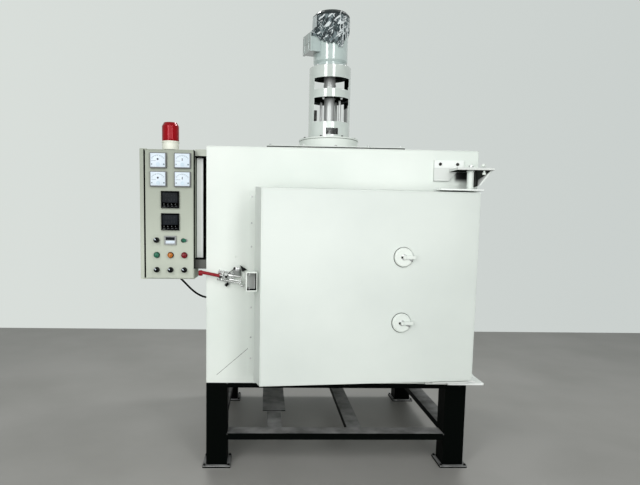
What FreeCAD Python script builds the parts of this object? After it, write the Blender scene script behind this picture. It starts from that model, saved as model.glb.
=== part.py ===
import FreeCAD, Part
import Sketcher
import math
import os
import re

# Box tempering furnace on a legged stand, front facing -Y, ground at Z = 0.
# All lengths are in millimetres and all angles in degrees.

os.makedirs("parts", exist_ok=True)
V = FreeCAD.Vector

# Driving dimensions

SIZES = {
    # insulated box: X is centred on the box, Y = 0 is its front face
    "box_w": 1500, "box_d": 1280, "box_h": 1320, "leg_h": 495,
    "sheet": 4, "wall": 150, "fit_gap": 0.3,
    # stand
    "stand_in": 7, "leg_w": 119, "plate_over": 20, "plate_thk": 12,
    "low_z": 160, "low_h": 38, "low_d": 95, "top_beam_h": 28, "top_beam_d": 90,
    "tray_w": 146, "tray_thk": 4, "tray_from": 370, "tray_to": 1010,
    "rail_w": 88, "rail_from_left": 394, "rail_from_right": 633,
    # door opening, measured from the box edges, and the flange around it
    "open_left": 405, "open_right": 160, "open_down": 332,
    "flange_left": 170, "flange_right": 50, "flange_low": 75, "flange_high": 97, "flange_thk": 4,
    # door, drawn closed around its hinge axis
    "hinge_in": 78, "hinge_out": 98, "ajar": 6.1,
    "door_over": 132, "door_right": 35.5, "door_low": 92, "door_high": 108,
    "door_back": 80, "door_thk": 165, "door_slope": 5.4, "plug_in": 60, "plug_gap": 24,
    # hinges: straps on the door, arms on the box
    "pin_r": 14, "pin_gap": 0.08, "strap_thk": 8, "strap_l": 190, "strap_w": 70, "strap_over": 16,
    "arm_thk": 12, "arm_rise": 106, "arm_gap": 6, "arm_left": 87, "arm_right": 113, "arm_front": 42,
    "bracket_w": 163, "bracket_in": 8, "bracket_thk": 14, "bracket_rise": 63,
    "bracket_drop": 50, "web_thk": 10, "web_drop": 84,
    # round covers on the door
    "cover_in": 391, "cover_r": 50, "cover_thk": 16, "cover_z": 591, "cover_pitch": 344,
    "stud_r": 9, "wing_l": 58,
    # keeper on the door edge
    "keeper_w": 58, "keeper_h": 98, "keeper_d": 66, "keeper_wall": 5,
    "keeper_z": 457, "keeper_y": 5,
    # pull latch on the box front
    "latch_off": 125, "latch_out": 46, "latch_z": 458, "latch_tilt": 11, "latch_crank": 16,
    "latch_base_w": 92, "latch_base_h": 60, "latch_base_thk": 8, "latch_reach": 86,
    "lever_half": 6.5, "cheek": 3.5, "cheek_gap": 1, "axle_r": 4.95, "hook_r": 4, "hook_half": 17,
    "hook_eye": 7, "grip_l": 112, "grip_r": 9, "grip_at": 33,
    # fan drive on the roof
    "fan_off": 13, "roof_plate_w": 820, "roof_plate_h": 44,
    "drum_r": 192, "drum_h": 84, "disc_over": 4, "disc_thk": 9,
    "lantern_r": 137, "lantern_wall": 12, "lantern_h": 456, "lantern_turn": 2.5, "lantern_floor": 14,
    "slot_half": 39, "slot_z": 21, "slot_h": 40, "window_half": 111, "window_z": 103,
    "window_h": 153, "rear_rise": 28, "bridge_h": 52, "upper_h": 71,
    "motor_r": 112, "motor_h": 270, "cowl_h": 72, "cowl_over": 3,
    "term_turn": 19, "term_out": 170, "term_w": 124, "term_h": 118, "term_z": 83, "term_lid": 14,
    "shaft_r": 34, "hub_r": 38, "bore_gap": 5,
    "wheel_r": 240, "wheel_h": 120, "wheel_drop": 45, "wheel_disc": 8, "blade_thk": 5, "blades": 10,
    # control cabinet at the left
    "cab_away": 62, "cab_w": 285, "cab_out": 62, "cab_d": 190, "cab_up": 594, "cab_h": 697,
    "cab_sheet": 3, "cab_band": 20, "cab_leaf": 20, "leaf_gap": 6,
    "lug": 5, "leaf_pin_r": 2.5, "leaf_pin_in": 5,
    "mount_d": 100, "mount_web": 10, "mount_over": 8, "mount_top": 42, "mount_low": 59, "mount_low_z": 55,
    "strut_in": 5, "strut_w": 34, "strut_thk": 20, "strut_y": 40,
    "beacon_in": 150, "beacon_y": 82, "beacon_r": 46, "beacon_base": 47, "beacon_h": 101,
    # instruments on the cabinet leaf, from its middle line and the cabinet foot
    "meter_w": 87, "meter_h": 81, "meter_deep": 14, "meter_x": 8.5, "meter_z": 586,
    "meter_pitch_x": 128.5, "meter_pitch_z": 97.5,
    "ctrl_x": 6, "ctrl_w": 96, "ctrl_h": 91, "ctrl_deep": 12, "ctrl_z": 370, "ctrl_pitch": 118,
    "count_w": 63, "count_h": 48, "count_deep": 10,
    "column_x": 6, "column": 74, "row_a": 212, "row_b": 132, "row_c": 52,
    "lamp_r": 10, "button_r": 14, "button_deep": 18, "knob_r": 13, "knob_deep": 24,
    # conduit from the cabinet to the box
    "cord_r": 6, "gland_r": 10, "gland_l": 16, "gland_x": 115, "gland_z": 22,
    "cord_y": 100, "cord_drop": 140,
    "bend_back": 42, "bend_in": 30, "bend_down": 26, "bend_side": 55,
    # centre of the whole outline in plan, taken as the origin
    "origin_x": 0, "origin_y": 0,
}

doc = FreeCAD.newDocument("tempering_furnace")
dims = doc.addObject("Spreadsheet::Sheet", "dims")
for row, (name, value) in enumerate(SIZES.items(), start=1):
    dims.set("A%d" % row, name)
    dims.set("B%d" % row, str(value))
    dims.setAlias("B%d" % row, name)
doc.recompute()

WORD = re.compile(r"\b[a-z][a-z0-9_]*\b")
NODES = {}


def size(name):
    return float(dims.get(name))


def formula(text):
    """Turn a formula over size names into a sheet expression."""
    return WORD.sub(lambda m: "dims." + m.group(0) if m.group(0) in SIZES else m.group(0), str(text))


def bind(obj, prop, text):
    obj.setExpression(prop, formula(text))
    return obj


# Solid helpers

def box(x0, x1, y0, y1, z0, z1, name="Block"):
    """Block between two corners, each bound to the sheet."""
    obj = doc.addObject("Part::Box", name)
    for prop, low, high in (("Length", x0, x1), ("Width", y0, y1), ("Height", z0, z1)):
        bind(obj, prop, "(%s) - (%s)" % (high, low))
    for axis, low in (("x", x0), ("y", y0), ("z", z0)):
        bind(obj, "Placement.Base.%s" % axis, low)
    return obj


def rod(x, y, z, radius, height, axis="z", name="Rod"):
    """Cylinder from a point along one axis."""
    obj = doc.addObject("Part::Cylinder", name)
    bind(obj, "Radius", radius)
    bind(obj, "Height", height)
    turn = {"z": (V(0, 0, 1), 0), "x": (V(0, 1, 0), 90), "y": (V(1, 0, 0), -90)}[axis]
    obj.Placement = FreeCAD.Placement(V(0, 0, 0), FreeCAD.Rotation(*turn))
    for letter, value in (("x", x), ("y", y), ("z", z)):
        bind(obj, "Placement.Base.%s" % letter, value)
    return obj


def cut(base, tool, name="Cut"):
    obj = doc.addObject("Part::Cut", name)
    obj.Base = base
    obj.Tool = tool
    return obj


def fuse(pieces, name="Fuse"):
    obj = doc.addObject("Part::MultiFuse", name)
    obj.Shapes = pieces
    return obj


def group(pieces, name="Group"):
    obj = doc.addObject("Part::Compound", name)
    obj.Links = pieces
    return obj


def prism(points, plane, start, depth, name="Prism"):
    """Body with one padded outline. Points are pairs of formulas."""
    body = doc.addObject("PartDesign::Body", name)
    role = {"xy": "XY_Plane", "xz": "XZ_Plane", "yz": "YZ_Plane"}[plane]
    sketch = add_sketch(body, role, name + "_outline", start)
    polyline(sketch, points)
    pad(body, sketch, depth, name + "_pad")
    return body


def polyline(sketch, points):
    """Closed outline with each corner held by two driving distances."""
    first = sketch.GeometryCount
    count = len(points)
    corners = [V(math.cos(k), math.sin(k), 0) * size("box_w") / 10 for k in range(count)]
    for k in range(count):
        sketch.addGeometry(Part.LineSegment(corners[k], corners[(k + 1) % count]), False)
    for k in range(count):
        sketch.addConstraint(Sketcher.Constraint("Coincident", first + k, 2, first + (k + 1) % count, 1))
    for k, (across, up) in enumerate(points):
        for kind, value in (("DistanceX", across), ("DistanceY", up)):
            index = sketch.addConstraint(Sketcher.Constraint(kind, -1, 1, first + k, 1, 1.0))
            sketch.setExpression("Constraints[%d]" % index, formula(value))


def turned(points, name="Turned"):
    """Body turned about its own Z axis from (radius, height) corners."""
    body = doc.addObject("PartDesign::Body", name)
    sketch = add_sketch(body, "XZ_Plane", name + "_outline")
    polyline(sketch, points)
    spin = body.newObject("PartDesign::Revolution", name + "_turn")
    spin.Profile = sketch
    spin.ReferenceAxis = (sketch, ["V_Axis"])
    spin.Angle = 360
    body.Tip = spin
    return body


def pocket(body, sketch, name):
    """Cut a sketch through the whole body, both ways."""
    hole = body.newObject("PartDesign::Pocket", name)
    hole.Profile = sketch
    hole.Type = 1
    hole.Midplane = True
    body.Tip = hole
    return hole


def add_sketch(body, role, name, offset="0"):
    """Sketch on one of the origin planes of a body."""
    sketch = body.newObject("Sketcher::SketchObject", name)
    face = [f for f in body.Origin.OriginFeatures if f.Role == role][0]
    sketch.AttachmentSupport = [(face, "")]
    sketch.MapMode = "FlatFace"
    bind(sketch, "AttachmentOffset.Base.z", offset)
    return sketch


def pad(body, sketch, length, name):
    grown = body.newObject("PartDesign::Pad", name)
    grown.Profile = sketch
    bind(grown, "Length", length)
    body.Tip = grown
    return grown


def facing(body, x, y, z):
    """Turn a body so that its own +Z looks along -Y, and place it."""
    held = group([body], "Facing")
    held.Placement = FreeCAD.Placement(V(0, 0, 0), FreeCAD.Rotation(V(1, 0, 0), 90))
    for letter, value in (("x", x), ("y", y), ("z", z)):
        bind(held, "Placement.Base.%s" % letter, value)
    return held


def node(obj, label, x="0", y="0", z="0", turn=None, about=V(0, 0, 1)):
    """Name a finished piece and put it in the shared frame."""
    wrapped = group([obj], label) if obj.isDerivedFrom("Part::Primitive") else obj
    wrapped.Label = label
    if turn is not None:
        wrapped.Placement = FreeCAD.Placement(V(0, 0, 0), FreeCAD.Rotation(about, 10))
        bind(wrapped, "Placement.Rotation.Angle", turn)
    bind(wrapped, "Placement.Base.x", "(%s) - origin_x" % x)
    bind(wrapped, "Placement.Base.y", "(%s) - origin_y" % y)
    bind(wrapped, "Placement.Base.z", z)
    NODES[label] = wrapped
    return wrapped


# Places that several pieces share

ROOF = "(leg_h + box_h)"
OPEN_X0 = "(-box_w/2 + open_left)"
OPEN_X1 = "(box_w/2 - open_right)"
OPEN_Z0 = "(leg_h + wall)"
OPEN_Z1 = "(leg_h + box_h - open_down)"
HINGE_X = "(box_w/2 - hinge_in)"
HINGE_Y = "(-hinge_out)"
DOOR_LEFT = "(%s - %s + door_over)" % (HINGE_X, OPEN_X0)
DOOR_Z0 = "(%s - door_low)" % OPEN_Z0
DOOR_Z1 = "(%s + door_high)" % OPEN_Z1
FAN_X = "(-fan_off)"
FAN_Y = "(box_d/2)"

# Stand

LEG_X1 = "(box_w/2 - stand_in - leg_w)"
LEGS = [("-box_w/2", "0"), (LEG_X1, "0"), ("-box_w/2", "box_d - leg_w"), (LEG_X1, "box_d - leg_w")]

legs = [box(x, x + " + leg_w", y, y + " + leg_w", "plate_thk", "leg_h - fit_gap", "Leg")
        for x, y in LEGS]
node(group(legs), "legs")

plates = [box(x + " - plate_over", x + " + leg_w + plate_over",
              y + " - plate_over", y + " + leg_w + plate_over", "0", "plate_thk", "Plate")
          for x, y in LEGS]
node(group(plates), "foot_plates")


def ring_beams(z0, z1, depth):
    """Four beams between the legs, at the outer faces."""
    across = ("-box_w/2 + leg_w", LEG_X1)
    along = ("leg_w", "box_d - leg_w")
    right = LEG_X1 + " + leg_w"
    return [
        box(*across, "0", depth, z0, z1, "Beam"),
        box(*across, "box_d - " + depth, "box_d", z0, z1, "Beam"),
        box("-box_w/2", "-box_w/2 + " + depth, *along, z0, z1, "Beam"),
        box(right + " - " + depth, right, *along, z0, z1, "Beam"),
    ]


node(group(ring_beams("low_z", "low_z + low_h", "low_d")), "lower_beams")
node(group(ring_beams("leg_h - top_beam_h", "leg_h - fit_gap", "top_beam_d")), "upper_beams")
RAIL_X = "(-box_w/2 + rail_from_left)"
RAIL_TOP = "low_z + low_h"
left_rail, right_rail = [
    box(x + " - rail_w/2", x + " + rail_w/2", "low_d", "box_d - low_d", "low_z", RAIL_TOP, "Rail")
    for x in (RAIL_X, "(box_w/2 - rail_from_right)")]
tray = box(RAIL_X + " - tray_w/2", RAIL_X + " + tray_w/2", "tray_from", "tray_to",
           RAIL_TOP + " - 0.5*tray_thk", RAIL_TOP + " + tray_thk", "Tray")
node(group([fuse([left_rail, tray]), right_rail]), "mid_rails")

# Insulated box: sheet panels outside, lining slabs inside

SIDE = "(box_w/2 - sheet)"
SKIN_Z = ("leg_h + sheet", ROOF + " - sheet")
LINING_Z = ("leg_h + wall", ROOF + " - wall")
LINED = "(box_w/2 - wall)"
node(group([box("-box_w/2", "-" + SIDE, "sheet", "box_d - sheet", *SKIN_Z),
            box(SIDE, "box_w/2", "sheet", "box_d - sheet", *SKIN_Z)]), "casing_sides")
node(box("-box_w/2", "box_w/2", "box_d - sheet", "box_d", *SKIN_Z), "casing_back")
node(box("-box_w/2", "box_w/2", "0", "box_d", "leg_h", "leg_h + sheet"), "casing_floor")
shaft_hole = "shaft_r + bore_gap"
node(cut(box("-box_w/2", "box_w/2", "0", "box_d", ROOF + " - sheet", ROOF),
         rod(FAN_X, FAN_Y, ROOF + " - 2*sheet", shaft_hole, "4*sheet")), "casing_roof")
node(cut(box("-box_w/2", "box_w/2", "0", "sheet", *SKIN_Z),
         box(OPEN_X0, OPEN_X1, "-sheet", "2*sheet", OPEN_Z0, OPEN_Z1)), "casing_front")

node(group([box("-" + SIDE, "-" + LINED, "sheet", "box_d - sheet", *LINING_Z),
            box(LINED, SIDE, "sheet", "box_d - sheet", *LINING_Z)]), "lining_sides")
node(box("-" + LINED, LINED, "box_d - wall", "box_d - sheet", *LINING_Z), "lining_back")
node(box("-" + SIDE, SIDE, "sheet", "box_d - sheet", "leg_h + sheet", "leg_h + wall"), "lining_floor")
node(cut(box("-" + SIDE, SIDE, "sheet", "box_d - sheet", ROOF + " - wall", ROOF + " - sheet"),
         rod(FAN_X, FAN_Y, ROOF + " - 2*wall", shaft_hole, "4*wall")), "lining_roof")
node(cut(box("-" + LINED, LINED, "sheet", "wall", *LINING_Z),
         box(OPEN_X0, OPEN_X1, "0", "2*wall", "leg_h", OPEN_Z1)), "lining_front")

node(cut(box(OPEN_X0 + " - flange_left", OPEN_X1 + " + flange_right", "-flange_thk", "0",
             OPEN_Z0 + " - flange_low", OPEN_Z1 + " + flange_high"),
         box(OPEN_X0, OPEN_X1, "-2*flange_thk", "flange_thk", OPEN_Z0, OPEN_Z1)), "throat_flange")

# Fan drive on the roof, about its own upright axis

DRIVE = (FAN_X, FAN_Y)
PLATE_TOP = "(%s + roof_plate_h)" % ROOF
DRUM_TOP = "(%s + drum_h)" % PLATE_TOP
LOW = "(%s + disc_thk)" % DRUM_TOP
LANTERN_TOP = "(%s + lantern_h)" % LOW
MOTOR_TOP = "(%s + motor_h)" % LANTERN_TOP
node(cut(box("-roof_plate_w/2", "roof_plate_w/2", "-roof_plate_w/2", "roof_plate_w/2",
             ROOF + " + fit_gap", PLATE_TOP),
         rod("0", "0", ROOF, shaft_hole, "2*roof_plate_h")), "roof_plate", *DRIVE)
node(turned([(shaft_hole, PLATE_TOP + " + fit_gap"), ("drum_r", PLATE_TOP + " + fit_gap"),
             ("drum_r", DRUM_TOP), ("drum_r + disc_over", DRUM_TOP), ("drum_r + disc_over", LOW),
             (shaft_hole, LOW)], "Drum"), "drive_flange", *DRIVE)

# Lantern: a turned shell with a floor, a bridge and a cap, and windows cut through it
HOLLOW = "lantern_r - lantern_wall"
WINDOW_Z = "(%s + window_z)" % LOW
BRIDGE_Z = "(%s + window_h)" % WINDOW_Z
UPPER_Z = "(%s + bridge_h)" % BRIDGE_Z
shell = turned([(shaft_hole, LOW + " + fit_gap"), ("lantern_r", LOW + " + fit_gap"),
                ("lantern_r", LANTERN_TOP), (shaft_hole, LANTERN_TOP),
                (shaft_hole, LANTERN_TOP + " - 2*lantern_wall"), (HOLLOW, LANTERN_TOP + " - 2*lantern_wall"),
                (HOLLOW, UPPER_Z + " - lantern_wall"), ("hub_r + bore_gap", UPPER_Z + " - lantern_wall"),
                ("hub_r + bore_gap", BRIDGE_Z + " + lantern_wall"), (HOLLOW, BRIDGE_Z + " + lantern_wall"),
                (HOLLOW, LOW + " + lantern_floor"), (shaft_hole, LOW + " + lantern_floor")], "Lantern")
windows = add_sketch(shell, "XZ_Plane", "LanternWindows")
for half, z0, z1 in (("slot_half", LOW + " + slot_z", LOW + " + slot_z + slot_h"),
                     ("window_half", WINDOW_Z, BRIDGE_Z),
                     ("window_half", UPPER_Z, UPPER_Z + " + upper_h")):
    polyline(windows, [("-" + half, z0), (half, z0), (half, z1), ("-" + half, z1)])
doc.recompute()
pocket(shell, windows, "LanternOpenings")
rear_top = box("-window_half", "window_half", "0.3*lantern_r", "2*lantern_r",
               UPPER_Z + " + 0.9*upper_h", UPPER_Z + " + upper_h + rear_rise")
node(cut(shell, rear_top), "lantern", *DRIVE, turn="lantern_turn")

node(turned([("0", LANTERN_TOP + " + fit_gap"), ("0.92*motor_r", LANTERN_TOP + " + fit_gap"),
             ("0.92*motor_r", LANTERN_TOP + " + 0.09*motor_h"), ("motor_r", LANTERN_TOP + " + 0.15*motor_h"),
             ("motor_r", MOTOR_TOP), ("0", MOTOR_TOP)], "Motor"), "motor", *DRIVE)
COWL_TOP = "(%s + cowl_h)" % MOTOR_TOP
node(turned([("0", MOTOR_TOP + " + fit_gap"), ("motor_r + cowl_over", MOTOR_TOP + " + fit_gap"),
             ("motor_r + cowl_over", COWL_TOP + " - 0.25*cowl_h"), ("0.9*motor_r", COWL_TOP),
             ("0", COWL_TOP)], "Cowl"), "fan_cowl", *DRIVE)
TERM_Z = "(%s + term_z)" % LANTERN_TOP
TERM_X = "(-term_out + term_lid)"
term_box = box(TERM_X, "-0.5*motor_r", "-term_w/2 + 4", "term_w/2 - 4",
               TERM_Z + " + 4", TERM_Z + " + term_h - 4")
term_lid = box("-term_out", TERM_X, "-term_w/2", "term_w/2", TERM_Z, TERM_Z + " + term_h")
node(cut(fuse([term_box, term_lid]), rod("0", "0", LANTERN_TOP, "motor_r + fit_gap", "motor_h")),
     "terminal_box", *DRIVE, turn="term_turn")

# Rotor: shaft with coupling hub, and the bladed wheel under the chamber roof

WHEEL_TOP = "(%s - wall - wheel_drop)" % ROOF
HUB_Z = ("(%s + 0.5*bridge_h)" % BRIDGE_Z, "(%s + 1.4*upper_h)" % UPPER_Z)
node(turned([("0", WHEEL_TOP + " + fit_gap"), ("shaft_r", WHEEL_TOP + " + fit_gap"),
             ("shaft_r", HUB_Z[0]), ("hub_r", HUB_Z[0]), ("hub_r", HUB_Z[1]),
             ("0.6*shaft_r", HUB_Z[1]), ("0.6*shaft_r", LANTERN_TOP), ("0", LANTERN_TOP)], "Shaft"),
     "drive_shaft", *DRIVE)

wheel = turned([("0", WHEEL_TOP + " - wheel_h"), ("1.6*shaft_r", WHEEL_TOP + " - wheel_h"),
                ("1.6*shaft_r", WHEEL_TOP + " - wheel_disc"), ("wheel_r", WHEEL_TOP + " - wheel_disc"),
                ("wheel_r", WHEEL_TOP), ("0", WHEEL_TOP)], "Wheel")
blade_foot = add_sketch(wheel, "XY_Plane", "BladeOutline", WHEEL_TOP + " - wheel_h")
polyline(blade_foot, [("1.5*shaft_r", "0"), ("wheel_r - blade_thk", "0.3*wheel_r"),
                      ("wheel_r - blade_thk", "0.3*wheel_r + blade_thk"), ("1.5*shaft_r", "blade_thk")])
pad(wheel, blade_foot, "wheel_h - 0.5*wheel_disc", "Blade")
doc.recompute()
ring = wheel.newObject("PartDesign::PolarPattern", "BladeRing")
ring.Originals = [wheel.Tip]
ring.Axis = (blade_foot, ["N_Axis"])
ring.Angle = 360
bind(ring, "Occurrences", "blades")
wheel.Tip = ring
node(wheel, "fan_wheel", *DRIVE)

# Door, drawn closed in its own frame: origin on the hinge axis, ground level

LEAF = (HINGE_X, HINGE_Y)
door_body = doc.addObject("PartDesign::Body", "DoorCasing")
door_outline = add_sketch(door_body, "XZ_Plane", "DoorOutline", "-door_back")
polyline(door_outline, [("-" + DOOR_LEFT, DOOR_Z0), ("door_right", DOOR_Z0),
                        ("door_right", DOOR_Z1), ("-" + DOOR_LEFT, DOOR_Z1)])
door_pad = pad(door_body, door_outline, "door_thk", "DoorPad")
bind(door_pad, "TaperAngle", "-door_slope")
node(door_body, "door_casing", *LEAF, turn="ajar")

node(box("%s - %s + plug_gap" % (OPEN_X0, HINGE_X), "%s - %s - plug_gap" % (OPEN_X1, HINGE_X),
         "door_back + fit_gap", "hinge_out + plug_in", OPEN_Z0 + " + plug_gap", OPEN_Z1 + " - plug_gap"),
     "door_plug", *LEAF, turn="ajar")

# The straps lie on the sloped edges, the arms of the box stand off from them
STEP_IN = "((door_back - strap_w/2) * tan(door_slope) - fit_gap)"
TOP_STRAP = "(%s - %s)" % (DOOR_Z1, STEP_IN)
LOW_STRAP = "(%s + %s - strap_thk)" % (DOOR_Z0, STEP_IN)
ARM_Z = "(%s + arm_rise)" % DOOR_Z1
LOW_ARM = "(%s - arm_gap - arm_thk)" % LOW_STRAP
PIN_OUT = "0.5*arm_thk"
pins = []
for low, high, strap in ((TOP_STRAP + " + 1", "%s + arm_thk + %s" % (ARM_Z, PIN_OUT), TOP_STRAP),
                         ("%s - %s" % (LOW_ARM, PIN_OUT), LOW_STRAP + " + strap_thk - 1", LOW_STRAP)):
    strap_plate = box("-strap_l", "door_right + strap_over", "-0.35*door_thk", "strap_w/2",
                      strap, strap + " + strap_thk")
    pins.append(fuse([strap_plate, rod("0", "0", low, "pin_r", "(%s) - (%s)" % (high, low))]))
node(group(pins), "door_hinges", *LEAF, turn="ajar")

FRONT = "(door_back - door_thk)"


def cover(z):
    """Round cap with a stud and a small wing, on the door front."""
    cap = turned([("0", "fit_gap"), ("cover_r", "fit_gap"), ("cover_r", "0.7*cover_thk"),
                  ("cover_r - 0.3*cover_thk", "cover_thk"), ("stud_r", "cover_thk"),
                  ("stud_r", "1.8*cover_thk"), ("0", "1.8*cover_thk")], "Cap")
    wing = box("-cover_in", "-cover_in + wing_l", FRONT + " - 1.7*cover_thk", FRONT + " - 1.2*cover_thk",
               z + " - 0.5*cover_thk", z + " + 0.5*cover_thk")
    return fuse([facing(cap, "-cover_in", FRONT, z), wing])


COVER_Z = "(%s + cover_z)" % OPEN_Z0
node(group([cover(COVER_Z), cover("(%s - cover_pitch)" % COVER_Z)]), "port_covers", *LEAF, turn="ajar")

KEEPER_X1 = "(-%s + (door_back + keeper_y - keeper_d/2) * tan(door_slope) - fit_gap)" % DOOR_LEFT
KEEPER_X0 = "(%s - keeper_w)" % KEEPER_X1
KEEPER_Z = "(%s + keeper_z)" % OPEN_Z0
keeper_shell = cut(
    box(KEEPER_X0, KEEPER_X1, "-keeper_y - keeper_d/2", "-keeper_y + keeper_d/2",
        KEEPER_Z + " - keeper_h/2", KEEPER_Z + " + keeper_h/2"),
    box(KEEPER_X0 + " + keeper_wall", KEEPER_X1 + " - keeper_wall",
        "-keeper_y - keeper_d", "-keeper_y + keeper_d/2 - keeper_wall",
        KEEPER_Z + " - keeper_h/2 + keeper_wall", KEEPER_Z + " + keeper_h/2 - keeper_wall"))
node(keeper_shell, "latch_keeper", *LEAF, turn="ajar")

# Hinge arms on the box: a bored plate, a wall plate, webs and a side plate

ARM_X0 = "(%s - arm_left)" % HINGE_X
ARM_X1 = "(%s + arm_right)" % HINGE_X
ARM_Y = "(%s - arm_front)" % HINGE_Y
WALL_X0 = "(%s - bracket_in - bracket_w)" % HINGE_X
WALL_X1 = "(%s - bracket_in)" % HINGE_X
WALL_Y = "(-bracket_thk)"


def fixed_arm(z):
    """Plate with a bored eye, with its web and its side plate on the box."""
    plate = box(ARM_X0, ARM_X1, ARM_Y, "-fit_gap", z, z + " + arm_thk")
    side_plate = box("box_w/2 + fit_gap", ARM_X1, "-1", "0.8*hinge_out", z, z + " + arm_thk")
    return [plate, side_plate]


def bored(pieces, z):
    eye = rod(HINGE_X, HINGE_Y, z + " - 2*arm_thk", "pin_r + pin_gap", "5*arm_thk")
    return cut(fuse(pieces), eye)


WEB_X = "(%s + pin_r + arm_gap)" % HINGE_X
wall_plate = prism([(WALL_X0, ARM_Z + " + bracket_rise"), (WALL_X0, ARM_Z + " - bracket_drop"),
                    (WALL_X0 + " + 0.5*bracket_w", ARM_Z + " - bracket_drop"),
                    (WALL_X0 + " + 0.785*bracket_w", ARM_Z), (WALL_X1, ARM_Z + " + 1"),
                    (WALL_X1, ARM_Z + " + bracket_rise")], "xz", "fit_gap", "bracket_thk")
WEB_Y = ARM_Y + " + 0.3*arm_front"
upright_web = prism([(WEB_Y, ARM_Z + " + 1"), (WEB_Y, ARM_Z + " - web_drop"),
                     ("-fit_gap", ARM_Z + " - web_drop"), ("-fit_gap", ARM_Z + " + 1")],
                    "yz", WEB_X, "web_thk")
corner_web = prism([(WEB_X + " + 1", ARM_Z + " + 1"), (WEB_X + " + 1", ARM_Z + " - 0.7*web_drop"),
                    (ARM_X1 + " - web_thk", ARM_Z + " + 1")], "xz", "hinge_out + 0.4*arm_front", "web_thk")
top_arm = bored(fixed_arm(ARM_Z) + [wall_plate, upright_web, corner_web], ARM_Z)
low_wall = box(WALL_X0, WALL_X1, WALL_Y, "-fit_gap", "leg_h + fit_gap", LOW_ARM + " + 1")
low_web = prism([("box_w/2 - web_thk", LOW_ARM + " + arm_thk - 1"), (ARM_X1, LOW_ARM + " + arm_thk - 1"),
                 ("box_w/2 - web_thk", LOW_ARM + " + arm_thk + 0.6*web_drop")], "xz", "fit_gap", "web_thk")
low_arm = bored(fixed_arm(LOW_ARM) + [low_wall, low_web], LOW_ARM)
node(group([top_arm, low_arm]), "hinge_brackets")

# Pull latch on the box front, left of the door, tilted down to the right

LATCH_X = "(%s - flange_left - latch_off)" % OPEN_X0
LATCH = (LATCH_X, "-latch_out", "%s + latch_z" % OPEN_Z0)
TILTED = {"turn": "latch_tilt", "about": V(0, 1, 0)}
base_plate = box("-latch_base_w/2", "latch_base_w/2", "latch_out - latch_base_thk", "latch_out - fit_gap",
                 "-latch_base_h/2", "latch_base_h/2")
CHEEK_Z = "(lever_half + cheek_gap)"
cheeks = [box("-lever_half", "lever_half", "-lever_half", "latch_out - latch_base_thk + 1", z0, z1)
          for z0, z1 in ((CHEEK_Z, CHEEK_Z + " + cheek"), ("-%s - cheek" % CHEEK_Z, "-" + CHEEK_Z))]
pivot_bore = rod("0", "0", "-latch_out", "axle_r + 0.6*pin_gap", "2*latch_out")
node(cut(fuse([base_plate] + cheeks), pivot_bore), "latch_base", *LATCH, **TILTED)

AXLE = "(%s + cheek + 0.5)" % CHEEK_Z
lever = box("-grip_at - 9", "1.4*lever_half", "-lever_half + 0.5", "lever_half - 0.5",
            "-lever_half", "lever_half")
axle = rod("0", "0", "-" + AXLE, "axle_r", "2*" + AXLE)
PRONG = "(hook_half + hook_r + 1)"
hook_pin = rod("-latch_crank", "0", "-" + PRONG, "0.75*hook_r", "2*" + PRONG)
node(fuse([lever, axle, hook_pin]), "latch_lever", *LATCH, **TILTED)
grip = turned([("0", "0"), ("grip_r", "0"), ("grip_r", "grip_l - 0.5*grip_r"),
               ("1.15*grip_r", "grip_l - 0.4*grip_r"), ("0.9*grip_r", "grip_l"), ("0", "grip_l")], "Grip")
laid = group([grip], "GripLaid")
laid.Placement = FreeCAD.Placement(V(0, 0, 0), FreeCAD.Rotation(V(0, 1, 0), -90))
bind(laid, "Placement.Base.x", "-grip_at")
socket = box("-grip_at - 9 - fit_gap", "-grip_at + 3", "-lever_half + 0.5 - fit_gap",
             "lever_half - 0.5 + fit_gap", "-lever_half - fit_gap", "lever_half + fit_gap")
node(cut(laid, socket), "latch_grip", *LATCH, **TILTED)

hook = []
for z in ("hook_half", "-hook_half"):
    hook.append(rod("-latch_crank", "0", z + " - 0.5*hook_eye", "hook_eye", "hook_eye"))
    hook.append(rod("-latch_crank", "0", z, "hook_r", "latch_reach + latch_crank", "x"))
hook.append(rod("latch_reach", "0", "-hook_half - 1.5*hook_r", "1.1*hook_r", "2*(hook_half + 1.5*hook_r)"))
hook_bore = rod("-latch_crank", "0", "-2*hook_half", "0.75*hook_r + 0.6*pin_gap", "4*hook_half")
node(cut(fuse(hook), hook_bore), "latch_hook", *LATCH, **TILTED)

# Control cabinet beside the box: open shell, hinged front leaf, mount and beacon

CAB_X1 = "(-box_w/2 - cab_away)"
CAB_X0 = "(%s - cab_w)" % CAB_X1
CAB_Y0 = "(-cab_out)"
CAB_Y1 = "(%s + cab_leaf + cab_d)" % CAB_Y0
BODY_Y0 = "(%s + cab_leaf + leaf_gap)" % CAB_Y0
CAB_Z0 = "(leg_h + cab_up)"
CAB_Z1 = "(%s + cab_h)" % CAB_Z0
node(cut(box(CAB_X0, CAB_X1, BODY_Y0, CAB_Y1, CAB_Z0, CAB_Z1),
         box(CAB_X0 + " + cab_sheet", CAB_X1 + " - cab_sheet", BODY_Y0 + " - 10", CAB_Y1 + " - cab_sheet",
             CAB_Z0 + " + cab_sheet", CAB_Z1 + " - cab_sheet")), "cabinet_shell")
LEAF_X0 = "(%s + cab_band + leaf_gap)" % CAB_X0
LEAF_PIN = (LEAF_X0 + " + leaf_pin_in", CAB_Y0 + " + leaf_pin_in")
band = box(CAB_X0, CAB_X0 + " + cab_band", CAB_Y0, BODY_Y0 + " - fit_gap", CAB_Z0, CAB_Z1)
lugs = [box(CAB_X0 + " + cab_band - 1", LEAF_X0 + " + 2*leaf_pin_in", CAB_Y0 + " + 1",
            CAB_Y0 + " + 2*leaf_pin_in", z, z + " + lug") for z in (CAB_Z0, CAB_Z1 + " - lug")]
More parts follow.
